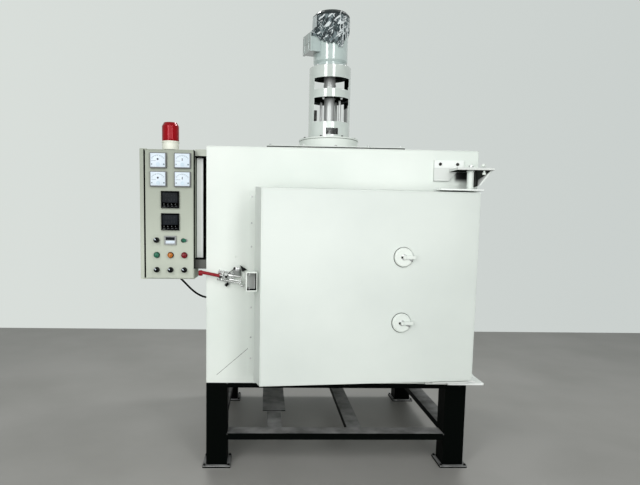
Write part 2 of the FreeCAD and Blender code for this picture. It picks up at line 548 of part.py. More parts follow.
pin_bore = rod(*LEAF_PIN, CAB_Z0 + " - 5", "leaf_pin_r + pin_gap", "cab_h + 10")
node(cut(fuse([band] + lugs), pin_bore), "cabinet_band")

LEAF_Z0 = "(%s + lug + 1)" % CAB_Z0
LEAF_Z1 = "(%s - lug - 1)" % CAB_Z1
leaf = cut(box(LEAF_X0, CAB_X1, CAB_Y0, CAB_Y0 + " + cab_leaf", LEAF_Z0, LEAF_Z1),
           box(LEAF_X0 + " + cab_sheet", CAB_X1 + " - cab_sheet", CAB_Y0 + " + cab_sheet",
               CAB_Y0 + " + 2*cab_leaf", LEAF_Z0 + " + cab_sheet", LEAF_Z1 + " - cab_sheet"))
leaf_pins = [rod(*LEAF_PIN, z, "leaf_pin_r", "lug + 3") for z in (CAB_Z0, LEAF_Z1 + " - 2")]
node(fuse([leaf] + leaf_pins), "cabinet_leaf")

# Mount: two blocks joined by a web at the back, and a strut between them
MOUNT_X = (CAB_X1 + " + fit_gap", "-box_w/2 - fit_gap")
MOUNT_Z1 = "(%s + mount_over)" % CAB_Z1
MOUNT_Z0 = "(%s + mount_low_z)" % CAB_Z0
node(fuse([box(*MOUNT_X, "0", "mount_d", MOUNT_Z1 + " - mount_top", MOUNT_Z1),
           box(*MOUNT_X, "0", "mount_d", MOUNT_Z0, MOUNT_Z0 + " + mount_low"),
           box(*MOUNT_X, "mount_d - mount_web", "mount_d", MOUNT_Z0, MOUNT_Z1)]), "cabinet_mount")
node(box(CAB_X1 + " + strut_in", CAB_X1 + " + strut_in + strut_w", "strut_y", "strut_y + strut_thk",
         MOUNT_Z0 + " + mount_low + fit_gap", MOUNT_Z1 + " - mount_top - fit_gap"), "mount_strut")

BEACON = (CAB_X0 + " + beacon_in", CAB_Y0 + " + beacon_y", CAB_Z1)
node(turned([("0", "fit_gap"), ("0.98*beacon_r", "fit_gap"), ("0.98*beacon_r", "0.85*beacon_base"),
             ("0.86*beacon_r", "beacon_base"), ("0", "beacon_base")], "BeaconBase"), "beacon_base", *BEACON)
LENS = "(beacon_base + fit_gap)"
node(turned([("0", LENS), ("0.95*beacon_r", LENS), ("beacon_r", LENS + " + 0.1*beacon_h"),
             ("beacon_r", LENS + " + 0.82*beacon_h"), ("0.78*beacon_r", LENS + " + beacon_h"),
             ("0", LENS + " + beacon_h")], "BeaconLens"), "beacon_lens", *BEACON)

# Instruments, placed from the middle of the leaf and the foot of the cabinet

PX = "(0.5*%s + 0.5*%s)" % (LEAF_X0, CAB_X1)


def on_leaf(dx, z, wide, tall, depth):
    return box("%s + %s - %s/2" % (PX, dx, wide), "%s + %s + %s/2" % (PX, dx, wide),
               "%s - %s" % (CAB_Y0, depth), CAB_Y0 + " - fit_gap",
               "%s + %s - %s/2" % (CAB_Z0, z, tall), "%s + %s + %s/2" % (CAB_Z0, z, tall))


def dial(column, row, radius, depth):
    """Round button or knob in one of three columns."""
    x = "%s + column_x + (%d) * column" % (PX, column)
    return rod(x, "%s - %s" % (CAB_Y0, depth), "%s + %s" % (CAB_Z0, row), radius, depth + " - fit_gap", "y")


node(group([on_leaf("meter_x + (%s) * meter_pitch_x" % across, "meter_z + (%s) * meter_pitch_z" % up,
                    "meter_w", "meter_h", "meter_deep")
            for up in ("0.5", "-0.5") for across in ("-0.5", "0.5")]), "meters")
node(group([on_leaf("ctrl_x", "ctrl_z + (%s) * ctrl_pitch" % up, "ctrl_w", "ctrl_h", "ctrl_deep")
            for up in ("0.5", "-0.5")]), "controllers")
node(on_leaf("column_x", "row_a", "count_w", "count_h", "count_deep"), "counter")
node(group([dial(1, "row_a", "lamp_r", "count_deep"), dial(-1, "row_b", "button_r", "button_deep")]),
     "green_buttons")
node(dial(0, "row_b", "button_r", "button_deep"), "orange_button")
node(dial(1, "row_b", "button_r", "button_deep"), "red_button")
node(group([dial(-1, "row_a", "knob_r", "knob_deep")]
           + [dial(column, "row_c", "knob_r", "knob_deep") for column in (-1, 0, 1)]), "selector_knobs")

# Conduit from the back of the cabinet to the side of the box

GLAND_X = "(%s + gland_x)" % CAB_X0
GLAND_Z = "(%s + gland_z)" % CAB_Z0
CORD_Y = "(%s + cord_y)" % CAB_Y1
SIDE_Z = "(%s - cord_drop)" % CAB_Z0
node(group([rod(GLAND_X, CAB_Y1 + " + fit_gap", GLAND_Z, "gland_r", "gland_l", "y"),
            rod("-box_w/2 - gland_l", CORD_Y, SIDE_Z, "gland_r", "gland_l - fit_gap", "x")]), "cable_glands")


def corner_route(points):
    """Wire of straight runs with a tangent arc at every inner point."""
    edges = []
    start = points[0]
    radii = []
    for k in range(1, len(points) - 1):
        before = points[k] - points[k - 1]
        after = points[k + 1] - points[k]
        turn = before.getAngle(after)
        radius = 0.45 * min(before.Length, after.Length) / math.tan(turn / 2)
        reach = radius * math.tan(turn / 2)
        first = points[k] - V(before).normalize() * reach
        last = points[k] + V(after).normalize() * reach
        middle_line = (V(after).normalize() - V(before).normalize()).normalize()
        centre = points[k] + middle_line * (radius / math.cos(turn / 2))
        middle = centre - middle_line * radius
        edges.append(Part.LineSegment(start, first).toShape())
        edges.append(Part.Arc(first, middle, last).toShape())
        start = last
        radii.append(round(radius, 1))
    edges.append(Part.LineSegment(start, points[-1]).toShape())
    return Part.Wire(edges), radii


tip = size("gland_l") + size("fit_gap")
cab_x1 = -size("box_w") / 2 - size("cab_away")
cable_x = cab_x1 - size("cab_w") + size("gland_x")
cable_y = -size("cab_out") + size("cab_leaf") + size("cab_d") + tip
cable_z = size("leg_h") + size("cab_up") + size("gland_z")
run_y = cable_y - tip + size("cord_y")
side_x = -size("box_w") / 2 - tip
side_z = cable_z - size("gland_z") - size("cord_drop")
route = [V(cable_x, cable_y, cable_z), V(cable_x, run_y - size("bend_back"), cable_z),
         V(cable_x + size("bend_in"), run_y, cable_z - size("bend_down")),
         V(side_x - size("bend_side"), run_y, side_z), V(side_x, run_y, side_z)]
path, bend_radii = corner_route(route)
print("conduit bend radii", bend_radii, "length", round(path.Length, 1))
profile = Part.Wire([Part.Circle(route[0], V(0, 1, 0), size("cord_r")).toShape()])
cable = doc.addObject("Part::Feature", "Conduit")
cable.Shape = path.makePipeShell([profile], True, False)
node(cable, "cabinet_cable")

# The origin is the middle of the whole outline in plan

doc.recompute()
outline = FreeCAD.BoundBox()
for piece in NODES.values():
    outline.add(piece.Shape.BoundBox)
dims.set("B%d" % (1 + list(SIZES).index("origin_x")), str(round(outline.Center.x, 3)))
dims.set("B%d" % (1 + list(SIZES).index("origin_y")), str(round(outline.Center.y, 3)))
doc.recompute()

faults = []
for obj in doc.Objects:
    if "Invalid" in obj.State or "Error" in obj.State:
        faults.append("%s %s" % (obj.Label, obj.State))
for label, piece in NODES.items():
    if piece.Shape.isNull() or not piece.Shape.isValid() or not piece.Shape.Solids:
        faults.append("%s has no valid shape" % label)
if faults:
    raise RuntimeError("; ".join(faults))

for label, piece in NODES.items():
    piece.Shape.exportStep("parts/%s.step" % label)
print("origin", size("origin_x"), size("origin_y"))
print(len(NODES), "nodes,", sum(len(p.Shape.Solids) for p in NODES.values()), "solids")
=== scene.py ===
# %% [markdown]
# # A box tempering furnace, dressed for a photograph
#
# The furnace is already drawn as solids in a CAD program: a white insulated box on black legs,
# a thick door that stands a little open, a fan drive on the roof and a control cabinet at the
# left. In this lesson it gets what a CAD solid lacks: paint, dust, bolts, dials, a crumpled
# film over the motor, and light. Each step says what the real piece is, how it could be made,
# and why this way was chosen.

# %% Load the frame
from math import atan2, cos, hypot, pi, radians, sin, sqrt
import bpy
from mathutils import Matrix, Vector


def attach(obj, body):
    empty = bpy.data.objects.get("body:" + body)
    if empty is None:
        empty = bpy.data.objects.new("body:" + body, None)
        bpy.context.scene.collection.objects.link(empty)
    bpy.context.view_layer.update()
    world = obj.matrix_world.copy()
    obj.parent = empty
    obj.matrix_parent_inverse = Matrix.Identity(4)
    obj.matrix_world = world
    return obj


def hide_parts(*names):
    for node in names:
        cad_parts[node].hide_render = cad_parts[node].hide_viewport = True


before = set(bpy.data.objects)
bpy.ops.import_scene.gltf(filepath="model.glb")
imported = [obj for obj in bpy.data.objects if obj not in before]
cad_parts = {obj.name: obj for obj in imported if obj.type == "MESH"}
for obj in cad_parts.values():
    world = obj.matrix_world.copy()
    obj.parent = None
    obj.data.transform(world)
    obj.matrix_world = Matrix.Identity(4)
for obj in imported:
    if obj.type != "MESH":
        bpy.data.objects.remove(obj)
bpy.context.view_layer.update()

# %% [markdown]
# ## Working in millimetres on the furnace
#
# The CAD model puts its origin under the middle of the whole outline. It is easier to think in
# workshop terms: millimetres, X from the middle of the box, Y from its front face, Z from the
# ground. One small function turns such a place into scene metres. The sizes below are the ones
# that the new pieces have to meet.

# %% Places and sizes
MM = 0.001
ORIGIN_X, ORIGIN_Y = -156, 498.521
SIDE_X, BOX_D, LEG_H, ROOF_Z, ROOF_PLATE_Z = 750, 1280, 495, 1815, 1859
LEG_W, STAND_IN = 119, 7
HINGE_X, HINGE_Y = 672, -98
AJAR = radians(6.1)
DOOR_Y = HINGE_Y - 85
FAN_X, FAN_Y = -13, 640
DRUM_TOP, LANTERN_Z, BRIDGE_Z, LANTERN_TOP, COWL_TOP = 1943, 1952, 2207, 2408, 2750
LANTERN_BORE, COWL_RADIUS, COWL_EDGE = 134, 118.5, 2733
CAB_X0, CAB_X1, CAB_Y, CAB_Z0, CAB_Z1 = -1097, -812, -62, 1089, 1786
PANEL_X = -935.5
LATCH_X, LATCH_Y, LATCH_Z = -640, -46, 1103
LATCH_TILT = radians(11)


def spot(x, y, z):
    """A place in furnace millimetres, as scene metres."""
    return Vector(((x - ORIGIN_X) * MM, (y - ORIGIN_Y) * MM, z * MM))


print("box front middle is at", spot(0, 0, 0))

# %% [markdown]
# ## The camera
#
# The photograph was taken from standing height, a little left of the middle, with a short
# lens. The camera is solved from the corners of the box and set with a matrix: its axes are
# right, up and back. The frame is 640 by 485, and the small shift stands for the way the
# photograph was trimmed.

# %% Camera
WIDE, TALL, SENSOR = 640, 485, 36
FOCUS, MID_X, MID_Y = 532.24, 283.28, 275.12
YAW, PITCH, ROLL = 0.0338, 0.0973, -0.0151
EYE = (-421.8, -2958.5, 1402.1)
lens = bpy.data.cameras.new("photo_camera")
lens.sensor_width = SENSOR
lens.lens = FOCUS * SENSOR / WIDE
lens.shift_x = (WIDE / 2 - MID_X) / WIDE
lens.shift_y = (MID_Y - TALL / 2) / WIDE
camera = bpy.data.objects.new("photo_camera", lens)
bpy.context.collection.objects.link(camera)
ahead = Vector((sin(YAW) * cos(PITCH), cos(YAW) * cos(PITCH),
                -sin(PITCH)))
level = Vector((cos(YAW), -sin(YAW), 0))
down = ahead.cross(level)
right = cos(ROLL) * level + sin(ROLL) * down
below = cos(ROLL) * down - sin(ROLL) * level
stand = Matrix((right, -below, -ahead)).transposed().to_4x4()
stand.translation = spot(*EYE)
camera.matrix_world = stand
bpy.context.scene.camera = camera
print("camera lens", round(lens.lens, 2), "mm")

# %% [markdown]
# ## Helpers for modelling by hand
#
# Every new piece starts as a primitive and is shaped with the tools of edit mode, as one would
# do by mouse: bevel, inset, extrude, scale. An operator works on all that is selected, and the
# CAD nodes come in selected, so the selection is cleared first. When a piece is ready, its
# place goes into its mesh and the object stays at the origin, like the CAD nodes. What rides
# on the door is modelled with the door square to the box, and swings out with it at the end.

# %% Modelling helpers
def quarter(turns, axis):
    return Matrix.Rotation(turns * pi / 2, 4, axis)


AXES = {"x": quarter(1, "Y"), "-x": quarter(-1, "Y"), "y": quarter(-1, "X"),
        "-y": quarter(1, "X"), "z": Matrix.Identity(4), "-z": quarter(2, "X")}


def work_on(*objects):
    """Select these objects and nothing else. The first becomes the active one."""
    bpy.ops.object.select_all(action="DESELECT")
    for obj in objects:
        obj.select_set(True)
    if objects:
        bpy.context.view_layer.objects.active = objects[0]


def start(primitive, **settings):
    """Add a primitive with nothing else selected."""
    work_on()
    primitive(**settings)
    return bpy.context.active_object


def bake(obj, matrix=None):
    """Move the place of an object into its mesh."""
    if matrix:
        obj.matrix_world = matrix
    bpy.ops.object.transform_apply()
    return obj


def mode(name):
    bpy.ops.object.mode_set(mode=name)


def all_faces():
    bpy.ops.mesh.select_all(action="SELECT")


def smooth(angle):
    bpy.ops.object.shade_smooth_by_angle(angle=radians(angle))


def round_edges(obj, width, steps=2, sharp=35):
    """Bevel the sharp edges with a modifier and apply it."""
    work_on(obj)
    rounding = obj.modifiers.new("round", "BEVEL")
    rounding.width = width * MM
    rounding.segments = steps
    rounding.limit_method = "ANGLE"
    rounding.angle_limit = radians(sharp)
    bpy.ops.object.modifier_apply(modifier=rounding.name)
    smooth(40)
    return obj


def around(middle, half):
    """The two ends of a span about a middle."""
    return (middle - half, middle + half)


def slab(x, y, z, edge=1, steps=2, at=(0, 0, 0)):
    """Block between two x, two y and two z, counted from a place, with rounded edges."""
    low, high = (spot(*map(sum, zip(at, corner))) for corner in zip(x, y, z))
    obj = start(bpy.ops.mesh.primitive_cube_add, size=1, location=(low + high) / 2)
    obj.scale = high - low
    bake(obj)
    return round_edges(obj, edge, steps) if edge else obj


def strips(y, *spans):
    """Low narrow slabs, such as folded lips, one for each x and z."""
    return [slab(x, y, z, 0.3, 1) for x, z in spans]


def lathe(foot, profile, axis="z", sides=48, sharp=32):
    """Turned piece from (radius, height) steps, by extruding and scaling a disc."""
    radius, height = profile[0]
    obj = start(bpy.ops.mesh.primitive_circle_add, vertices=sides, radius=radius * MM,
                fill_type="NGON", location=(0, 0, height * MM))
    bake(obj)
    mode("EDIT")
    for next_radius, next_height in profile[1:]:
        bpy.ops.mesh.extrude_region_move(
            TRANSFORM_OT_translate={"value": (0, 0, (next_height - height) * MM)})
        ratio = next_radius / radius
        bpy.ops.transform.resize(value=(ratio, ratio, 1), center_override=(0, 0, 0))
        radius, height = next_radius, next_height
    all_faces()
    bpy.ops.mesh.normals_make_consistent(inside=False)
    mode("OBJECT")
    smooth(sharp)
    return bake(obj, Matrix.Translation(spot(*foot)) @ AXES[axis])


def cut(obj, *planes):
    """Cut a piece by planes, each a place and a direction, and keep what lies behind."""
    work_on(obj)
    mode("EDIT")
    for place, facing in planes:
        all_faces()
        bpy.ops.mesh.bisect(plane_co=spot(*place), plane_no=facing, use_fill=True,
                            clear_outer=True)
    mode("OBJECT")
    return obj


def copies(model, places, axis="z"):
    """Copies of a small piece, each with its own mesh, along an axis at some places."""
    made = []
    for place in places:
        twin = model.copy()
        twin.data = model.data.copy()
        bpy.context.collection.objects.link(twin)
        twin.data.transform(Matrix.Translation(spot(*place)) @ AXES[axis])
        made.append(twin)
    return made


def joined(name, parts):
    """Join one or more parts into one named object."""
    work_on(*parts)
    if len(parts) > 1:
        bpy.ops.object.join()
    parts[0].name = name
    return parts[0]


def turned(obj, pivot, angle, axis="Z"):
    """Turn a finished piece about an axis through a place."""
    centre = Matrix.Translation(spot(*pivot))
    obj.data.transform(centre @ Matrix.Rotation(angle, 4, axis) @ centre.inverted())
    return obj


def piece(name, parts, finish, body="furnace"):
    """Join parts and give them a material and a body."""
    obj = joined(name, parts if isinstance(parts, list) else [parts])
    if body == "door":
        turned(obj, (HINGE_X, HINGE_Y, 0), AJAR)
    obj.data.materials.clear()
    obj.data.materials.append(PAINTS[finish])
    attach(obj, body)
    return obj


print("helpers ready")

# %% [markdown]
# ## Helpers for materials
#
# All finishes are procedural. Each one reads Object coordinates, which are metres on the
# furnace, so a speck of 2 mm is a speck of 2 mm on every panel. Three things turn up again and
# again: a colour that drifts a little, a very low bump, and edges that catch the light. The
# Bevel node softens the knife edges of the CAD solids without changing their meshes. A mask is
# a value that is 1 where a second paint goes and 0 elsewhere. The helpers work on the material
# that was made last.

# %% Material helpers
PAINTS = {}
tree = None


def feed(socket, source):
    """Give an input a number, a colour or the output of another node."""
    if isinstance(source, bpy.types.NodeSocket):
        tree.links.new(source, socket)
    else:
        socket.default_value = (*source, 1) if socket.type == "RGBA" else source


def node(kind, *sources, out=0, **settings):
    """Add a node, set it, fill its inputs in order and return one of its outputs."""
    item = tree.nodes.new("ShaderNode" + kind)
    for key, value in settings.items():
        if key in item.inputs:
            feed(item.inputs[key], value)
        else:
            setattr(item, key, value)
    for socket, source in zip(item.inputs, sources):
        feed(socket, source)
    return item.outputs[out]


def calc(operation, *sources, **settings):
    return node("Math", *sources, operation=operation, **settings)


def vector(operation, *sources, out=0):
    return node("VectorMath", *sources, operation=operation, out=out)


def where():
    return node("TexCoord", out="Object")


def skin(key):
    """An input of the material's shader."""
    return tree.nodes["Principled BSDF"].inputs[key]


def material(name, colour, rough, metallic=0):
    """New material, noted under its name. What follows is done to it."""
    global tree
    made = PAINTS[name] = bpy.data.materials.new(name)
    made.use_nodes = True
    tree = made.node_tree
    made.diffuse_color = (*colour, 1)
    for key, value in (("Base Color", colour), ("Roughness", rough), ("Metallic", metallic)):
        feed(skin(key), value)


def shine(level):
    """Set the mirror part: low for blacks that stay black under a pale sky."""
    feed(skin("Specular IOR Level"), level)


def noise(scale, detail=4, stretch=(1, 1, 1)):
    """Noise in Object coordinates, with an optional stretch along an axis."""
    room = node("Mapping", Vector=where(), Scale=stretch)
    return node("TexNoise", Vector=room, Scale=scale, Detail=detail)


def ramp(source, *stops):
    """Colour that follows a value through some stops."""
    steps = tree.nodes.new("ShaderNodeValToRGB")
    marks = steps.color_ramp.elements
    for count, (level, colour) in enumerate(stops):
        mark = marks[count] if count < 2 else marks.new(level)
        mark.position, mark.color = level, (*colour, 1)
    feed(steps.inputs["Fac"], source)
    return steps.outputs["Color"]


def drift(dark, light, scale, detail, stretch=(1, 1, 1)):
    """Base colour that wanders between two close colours."""
    grain = noise(scale, detail, stretch)
    feed(skin("Base Color"), ramp(grain, (0.35, dark), (0.65, light)))


def low_bump(scale, strength, depth, edge, stretch=(1, 1, 1)):
    """Fine bump on top of softened edges."""
    soft = node("Bevel", samples=6, Radius=edge)
    grain = noise(scale, 2, stretch)
    bump = node("Bump", Strength=strength, Distance=depth, Height=grain, Normal=soft)
    feed(skin("Normal"), bump)


def uneven_gloss(low, high, scale=6):
    """Roughness that drifts between two values, as under dust and fingers."""
    feed(skin("Roughness"), node("MapRange", noise(scale), 0, 1, low, high))


def blend(share, base, colour):
    """One colour where a share is 0, another where it is 1."""
    mix = tree.nodes.new("ShaderNodeMix")
    mix.data_type = "RGBA"
    for socket, source in ((0, share), (6, base), (7, colour)):
        feed(mix.inputs[socket], source)
    return mix.outputs[2]


def paint_over(mask, colour):
    """Lay a second colour over the base where a mask is 1."""
    base = skin("Base Color")
    feed(base, blend(mask, base.links[0].from_socket, colour))


def matt_where(mask):
    """Take the shine off where a mask is 1."""
    for key in ("Specular IOR Level", "Coat Weight"):
        shiny = skin(key).default_value
        feed(skin(key), node("MapRange", mask, 0, 1, shiny, 0))


def every(first, *masks):
    for mask in masks:
        first = calc("MULTIPLY", first, mask)
    return first


def either(first, *masks):
    for mask in masks:
        first = calc("MAXIMUM", first, mask)
    return first


def ruler(axis, *places):
    """An Object coordinate, and places on it that are given in furnace millimetres."""
    index = "XYZ".index(axis)
    coordinate = node("SeparateXYZ", where(), out=index)
    return coordinate, *(spot(place, place, place)[index] for place in places)


def zone(**spans):
    """Mask of a block between two furnace X, two Y or two Z."""
    masks = []
    for axis, span in spans.items():
        coordinate, low, high = ruler(axis, *span)
        masks += [calc("GREATER_THAN", coordinate, low), calc("LESS_THAN", coordinate, high)]
    return every(*masks)


def rise(axis, start, end):
    """0 at one furnace coordinate, rising smoothly to 1 at another."""
    return node("MapRange", *ruler(axis, start, end), interpolation_type="SMOOTHSTEP")


def normal(axis):
    return node("SeparateXYZ", node("NewGeometry", out="Normal"), out=axis)


def faces_away(axis):
    """Mask of the faces that look along the negative side of an axis."""
    return calc("LESS_THAN", normal(axis), -0.5)


print("material helpers ready")

# %% [markdown]
# ## White enamel, and the scratch on the front
#
# The box and the door are sheet steel with a cool white enamel. It isn't chalk: the colour
# drifts slightly, the gloss is uneven, and the sheet has the faint waves of a brushed or
# rolled coat. The front panel has one long thin dark scratch at its lower left, so it gets a
# copy of the enamel in which the distance to a straight line darkens the colour. The corner
# under the top hinge lies in deep shade. A render's light reaches further into such a recess
# than daylight did, so part of that shade is painted: on the bracket, on the front beside it
# and on the small plate that closes the corner.

# %% White enamel
WHITE_LOW, WHITE_HIGH = (0.74, 0.8, 0.75), (0.82, 0.87, 0.82)


def enamel(name, dark=WHITE_LOW, light=WHITE_HIGH):
    material(name, light, 0.38)
    drift(dark, light, 1.6, 5)
    low_bump(90, 0.12, 0.0006, 0.002)
    uneven_gloss(0.3, 0.48)
    shine(0.3)


def drawn_line(start, end, half_width):
    """Mask of a thin straight line on a front-facing panel."""
    along = (end - start).normalized()
    away = vector("SUBTRACT", where(), start)
    run = vector("DOT_PRODUCT", away, along, out="Value")
    off = vector("DOT_PRODUCT", away, along.cross(Vector((0, 1, 0))), out="Value")
    return every(calc("GREATER_THAN", run, 0), calc("LESS_THAN", run, (end - start).length),
                 calc("LESS_THAN", calc("ABSOLUTE", off), half_width))


enamel("white_enamel")
# pale_enamel is a lighter copy of the white enamel for the hinge straps and the strut, which stand
# in shade: painted light.
enamel("pale_enamel", (0.88, 0.92, 0.89), (0.92, 0.95, 0.925))
enamel("door_enamel", (0.68, 0.735, 0.695), (0.745, 0.8, 0.755))
enamel("drum_enamel", (0.74, 0.8, 0.75), (0.82, 0.87, 0.825))


def recess():
    """Shade beside and under the hinge arm."""
    paint_over(every(rise("X", 612, 632), rise("Z", 1632, 1664),
                     zone(X=(600, 700), Z=(1620, 1696.5))), (0.01, 0.011, 0.01))


enamel("front_enamel")
scratch = drawn_line(spot(-691, 0, 541), spot(-489, 0, 718), 1.1 * MM)
paint_over(scratch, (0.1, 0.11, 0.1))
recess()
# Painted light and shade on the bracket: the enamel is a lighter copy of the white, it is darker
# below Z 1719, and it is near black on the webs under the arm and on downward faces.
enamel("hinge_enamel", (0.86, 0.9, 0.87), (0.9, 0.94, 0.91))
paint_over(zone(Z=(1600, 1719)), (0.7, 0.735, 0.705))
shade = either(zone(X=(690.5, 784), Z=(1600, 1696.5)), faces_away("Z"))
paint_over(shade, (0.016, 0.018, 0.016))
matt_where(shade)
recess()

enamel("corner_enamel")
# Painted shade: the corner plate darkens from its sloped lower edge up into the corner under the
# arm.
from_edge = vector("SUBTRACT", where(), spot(783, 0, 1699))
depth = vector("DOT_PRODUCT", from_edge, (-0.8, 0, 0.6), out="Value")
stops = [(share, (0.8, 0.85, 0.81)) for share in (0, 0.09)]
stops += [(share, (level, level * 1.03, level)) for share, level in
          ((0.14, 0.36), (0.35, 0.2), (0.62, 0.09), (0.85, 0.03), (1, 0.008))]
feed(skin("Base Color"), ramp(node("MapRange", depth, 0, 0.072), *stops))
shine(0.1)

enamel("roof_enamel", (0.7, 0.755, 0.71), (0.78, 0.835, 0.785))
# Painted shade: the edge of the roof plate is near black below its top 4.5 mm, for the gap under
# the plate.
paint_over(zone(Z=(ROOF_Z, ROOF_PLATE_Z - 4.5)), (0.02, 0.022, 0.02))
print("enamels ready")

# %% [markdown]
# ## Paints for the stand, the drive and the cabinet
#
# The stand is black gloss enamel with pale dust on its upward faces: partly real dust, partly
# painted sheen. The fan drive is sprayed in a grey-green machine enamel, smooth and fairly
# glossy, which is what gives the bright upright streaks on its round parts. Behind its windows
# the inner wall and the undersides are painted dark: painted shade. The cabinet is powder
# coated: the same kind of grey, warmer, with a fine orange-peel texture, and painted darker
# towards its top as painted shade against the stronger lamp light there, so it is a little
# paler towards its foot. Its mount is the same steel in the shade of the cabinet, and that
# shade is painted.

# %% Paints
material("stand_black", (0.003, 0.004, 0.0035), 0.5)
# Pale upward faces: partly real dust, partly painted sheen that those faces catch.
upward = calc("MULTIPLY", normal("Z"), noise(11, 6), use_clamp=True)
dust_and_sheen = calc("MULTIPLY", upward, 1.5, use_clamp=True)
feed(skin("Base Color"), blend(dust_and_sheen, (0.0012, 0.002, 0.0016), (0.3, 0.305, 0.3)))
low_bump(260, 0.15, 0.0005, 0.003)
uneven_gloss(0.42, 0.6, 8)
shine(0.025)


def drive_paint(name, dark, light):
    material(name, light, 0.08)
    drift(dark, light, 5, 5)
    low_bump(120, 0.02, 0.0004, 0.002)
    uneven_gloss(0.06, 0.1, 10)
    shine(0.9)
    feed(skin("Coat Weight"), 1)


drive_paint("drive_grey", (0.48, 0.58, 0.56), (0.565, 0.675, 0.65))
drive_paint("terminal_grey", (0.44, 0.53, 0.515), (0.52, 0.62, 0.6))
# Painted shade: the faces turned to the left are darker, and the underside much darker.
paint_over(faces_away("X"), (0.3, 0.35, 0.335))
paint_over(faces_away("Z"), (0.045, 0.053, 0.048))
drive_paint("lantern_grey", (0.585, 0.65, 0.61), (0.67, 0.735, 0.695))
# Painted shade: the inside of the lantern is dark, and its undersides and two bands inside the
# windows are near black.
away = vector("SUBTRACT", where(), spot(FAN_X, FAN_Y, 0))
off_axis = vector("LENGTH", vector("MULTIPLY", away, (1, 1, 0)), out="Value")
inside = calc("LESS_THAN", off_axis, LANTERN_BORE * MM)
paint_over(inside, (0.085, 0.097, 0.092))
behind = either(zone(Z=(2170, 2210)), zone(Z=(2285, 2360)))
shade = either(faces_away("Z"), every(behind, inside))
paint_over(shade, (0.004, 0.005, 0.004))
matt_where(shade)

material("cabinet_grey", (0.43, 0.465, 0.4), 0.5)
drift((0.51, 0.552, 0.47), (0.56, 0.605, 0.515), 4, 6)
# Painted shade: darker towards the top, against the stronger lamp light there.
paint_over(rise("Z", 1050, 1780), (0.365, 0.397, 0.335))
low_bump(900, 0.25, 0.0004, 0.0015)
shine(0.12)
# Painted shade between the cabinet and the box: the mount is darker than the cabinet, darker still
# below its top block, and near black in lines at its blocks and on its back web.
material("mount_grey", (0.43, 0.465, 0.4), 0.5)
drift((0.41, 0.445, 0.38), (0.455, 0.49, 0.42), 4, 6)
low_bump(300, 0.2, 0.0004, 0.0015)
paint_over(zone(Z=(1000, 1749)), (0.072, 0.076, 0.066))
shade_lines = either(zone(Z=(1194, 1210)), zone(Z=(1120, 1146.5)), zone(Z=(1749, 1759)),
               zone(Y=(85, 101)))
paint_over(shade_lines, (0.004, 0.004, 0.004))
matt_where(shade_lines)

material("shade_black", (0.003, 0.003, 0.003), 0.9)
drift((0.002, 0.002, 0.002), (0.006, 0.006, 0.006), 20, 3)
shine(0)
material("fibre_lining", (0.78, 0.76, 0.7), 0.95)
drift((0.68, 0.66, 0.6), (0.84, 0.82, 0.77), 14, 8)
low_bump(60, 0.9, 0.004, 0.004)
print("paints ready")

# %% [markdown]
# ## Metals
#
# Bare steel is drawn in one direction, so its noise is stretched along that direction. Zinc
# plated bolts are brighter and speckled. Dark steel is the same metal with a burnt oxide skin.
# The shaft is dull and reads as grey paint from afar, so it is only partly metallic.

# %% Metals
for name, dark, light, rough, stretch in (
        ("latch_steel", (0.55, 0.56, 0.55), (0.8, 0.81, 0.8), 0.2, (0.1, 1, 1)),
        ("zinc_bolt", (0.45, 0.46, 0.46), (0.68, 0.69, 0.69), 0.33, (1, 1, 1)),
        ("dark_steel", (0.012, 0.012, 0.012), (0.045, 0.045, 0.042), 0.42, (1, 1, 1))):
    material(name, light, rough, 1)
    drift(dark, light, 40, 3, stretch)
    low_bump(300, 0.15, 0.0002, 0.0008, stretch)
material("shaft_steel", (0.6, 0.62, 0.61), 0.34, 0.35)
drift((0.5, 0.52, 0.51), (0.66, 0.68, 0.67), 30, 4, (1, 1, 0.1))
low_bump(200, 0.1, 0.0003, 0.001)
print("metals ready")

# %% [markdown]
# ## Plastics
#
# Knobs, caps, bezels and the lamp are moulded. Moulded plastic has a very even colour, so the
# drift is small and most of the character is in the sheen. The table gives a colour, its
# roughness, its spread and the strength of its mirror part. The lamp lens is red plastic, deep
# in colour, with a polished skin.

# %% Plastics
PLASTICS = {
    "black_plastic": ((0.0035, 0.004, 0.0045), 0.26, 0.25, 0.045),
    "cast_grey": ((0.27, 0.285, 0.275), 0.4, 0.15, 0.5),
    "bezel_grey": ((0.075, 0.08, 0.085), 0.4, 0.15, 0.5),
    "key_grey": ((0.06, 0.066, 0.07), 0.45, 0.15, 0.2),
    "figure_grey": ((0.022, 0.025, 0.028), 0.4, 0.15, 0.15),
    "silver_plastic": ((0.27, 0.285, 0.285), 0.33, 0.06, 0.5),
    "dial_white": ((0.66, 0.75, 0.83), 0.35, 0.02, 0.5),
    "cream_plastic": ((0.8, 0.82, 0.72), 0.4, 0.03, 0.5),
    "green_cap": ((0.012, 0.125, 0.07), 0.16, 0.1, 0.35),
    "orange_cap": ((0.42, 0.135, 0.014), 0.16, 0.08, 0.35),
    "red_cap": ((0.17, 0.003, 0.009), 0.16, 0.1, 0.3),
    "grip_red": ((0.25, 0.004, 0.011), 0.3, 0.12, 0.3),
    "green_rim": ((0.006, 0.04, 0.024), 0.3, 0.1, 0.3),
    "red_rim": ((0.11, 0.003, 0.008), 0.3, 0.1, 0.3),
    "dial_grey": ((0.16, 0.22, 0.25), 0.5, 0.1, 0.5),
    "hub_blue": ((0.55, 0.67, 0.76), 0.4, 0.05, 0.5),
    "keeper_grey": ((0.068, 0.072, 0.066), 0.5, 0.4, 0.5),
    "dial_ink": ((0.03, 0.035, 0.05), 0.5, 0.1, 0.5),
    "pale_ink": ((0.2, 0.22, 0.21), 0.5, 0.1, 0.5),
    "cable_black": ((0.005, 0.006, 0.006), 0.42, 0.2, 0.06),
}
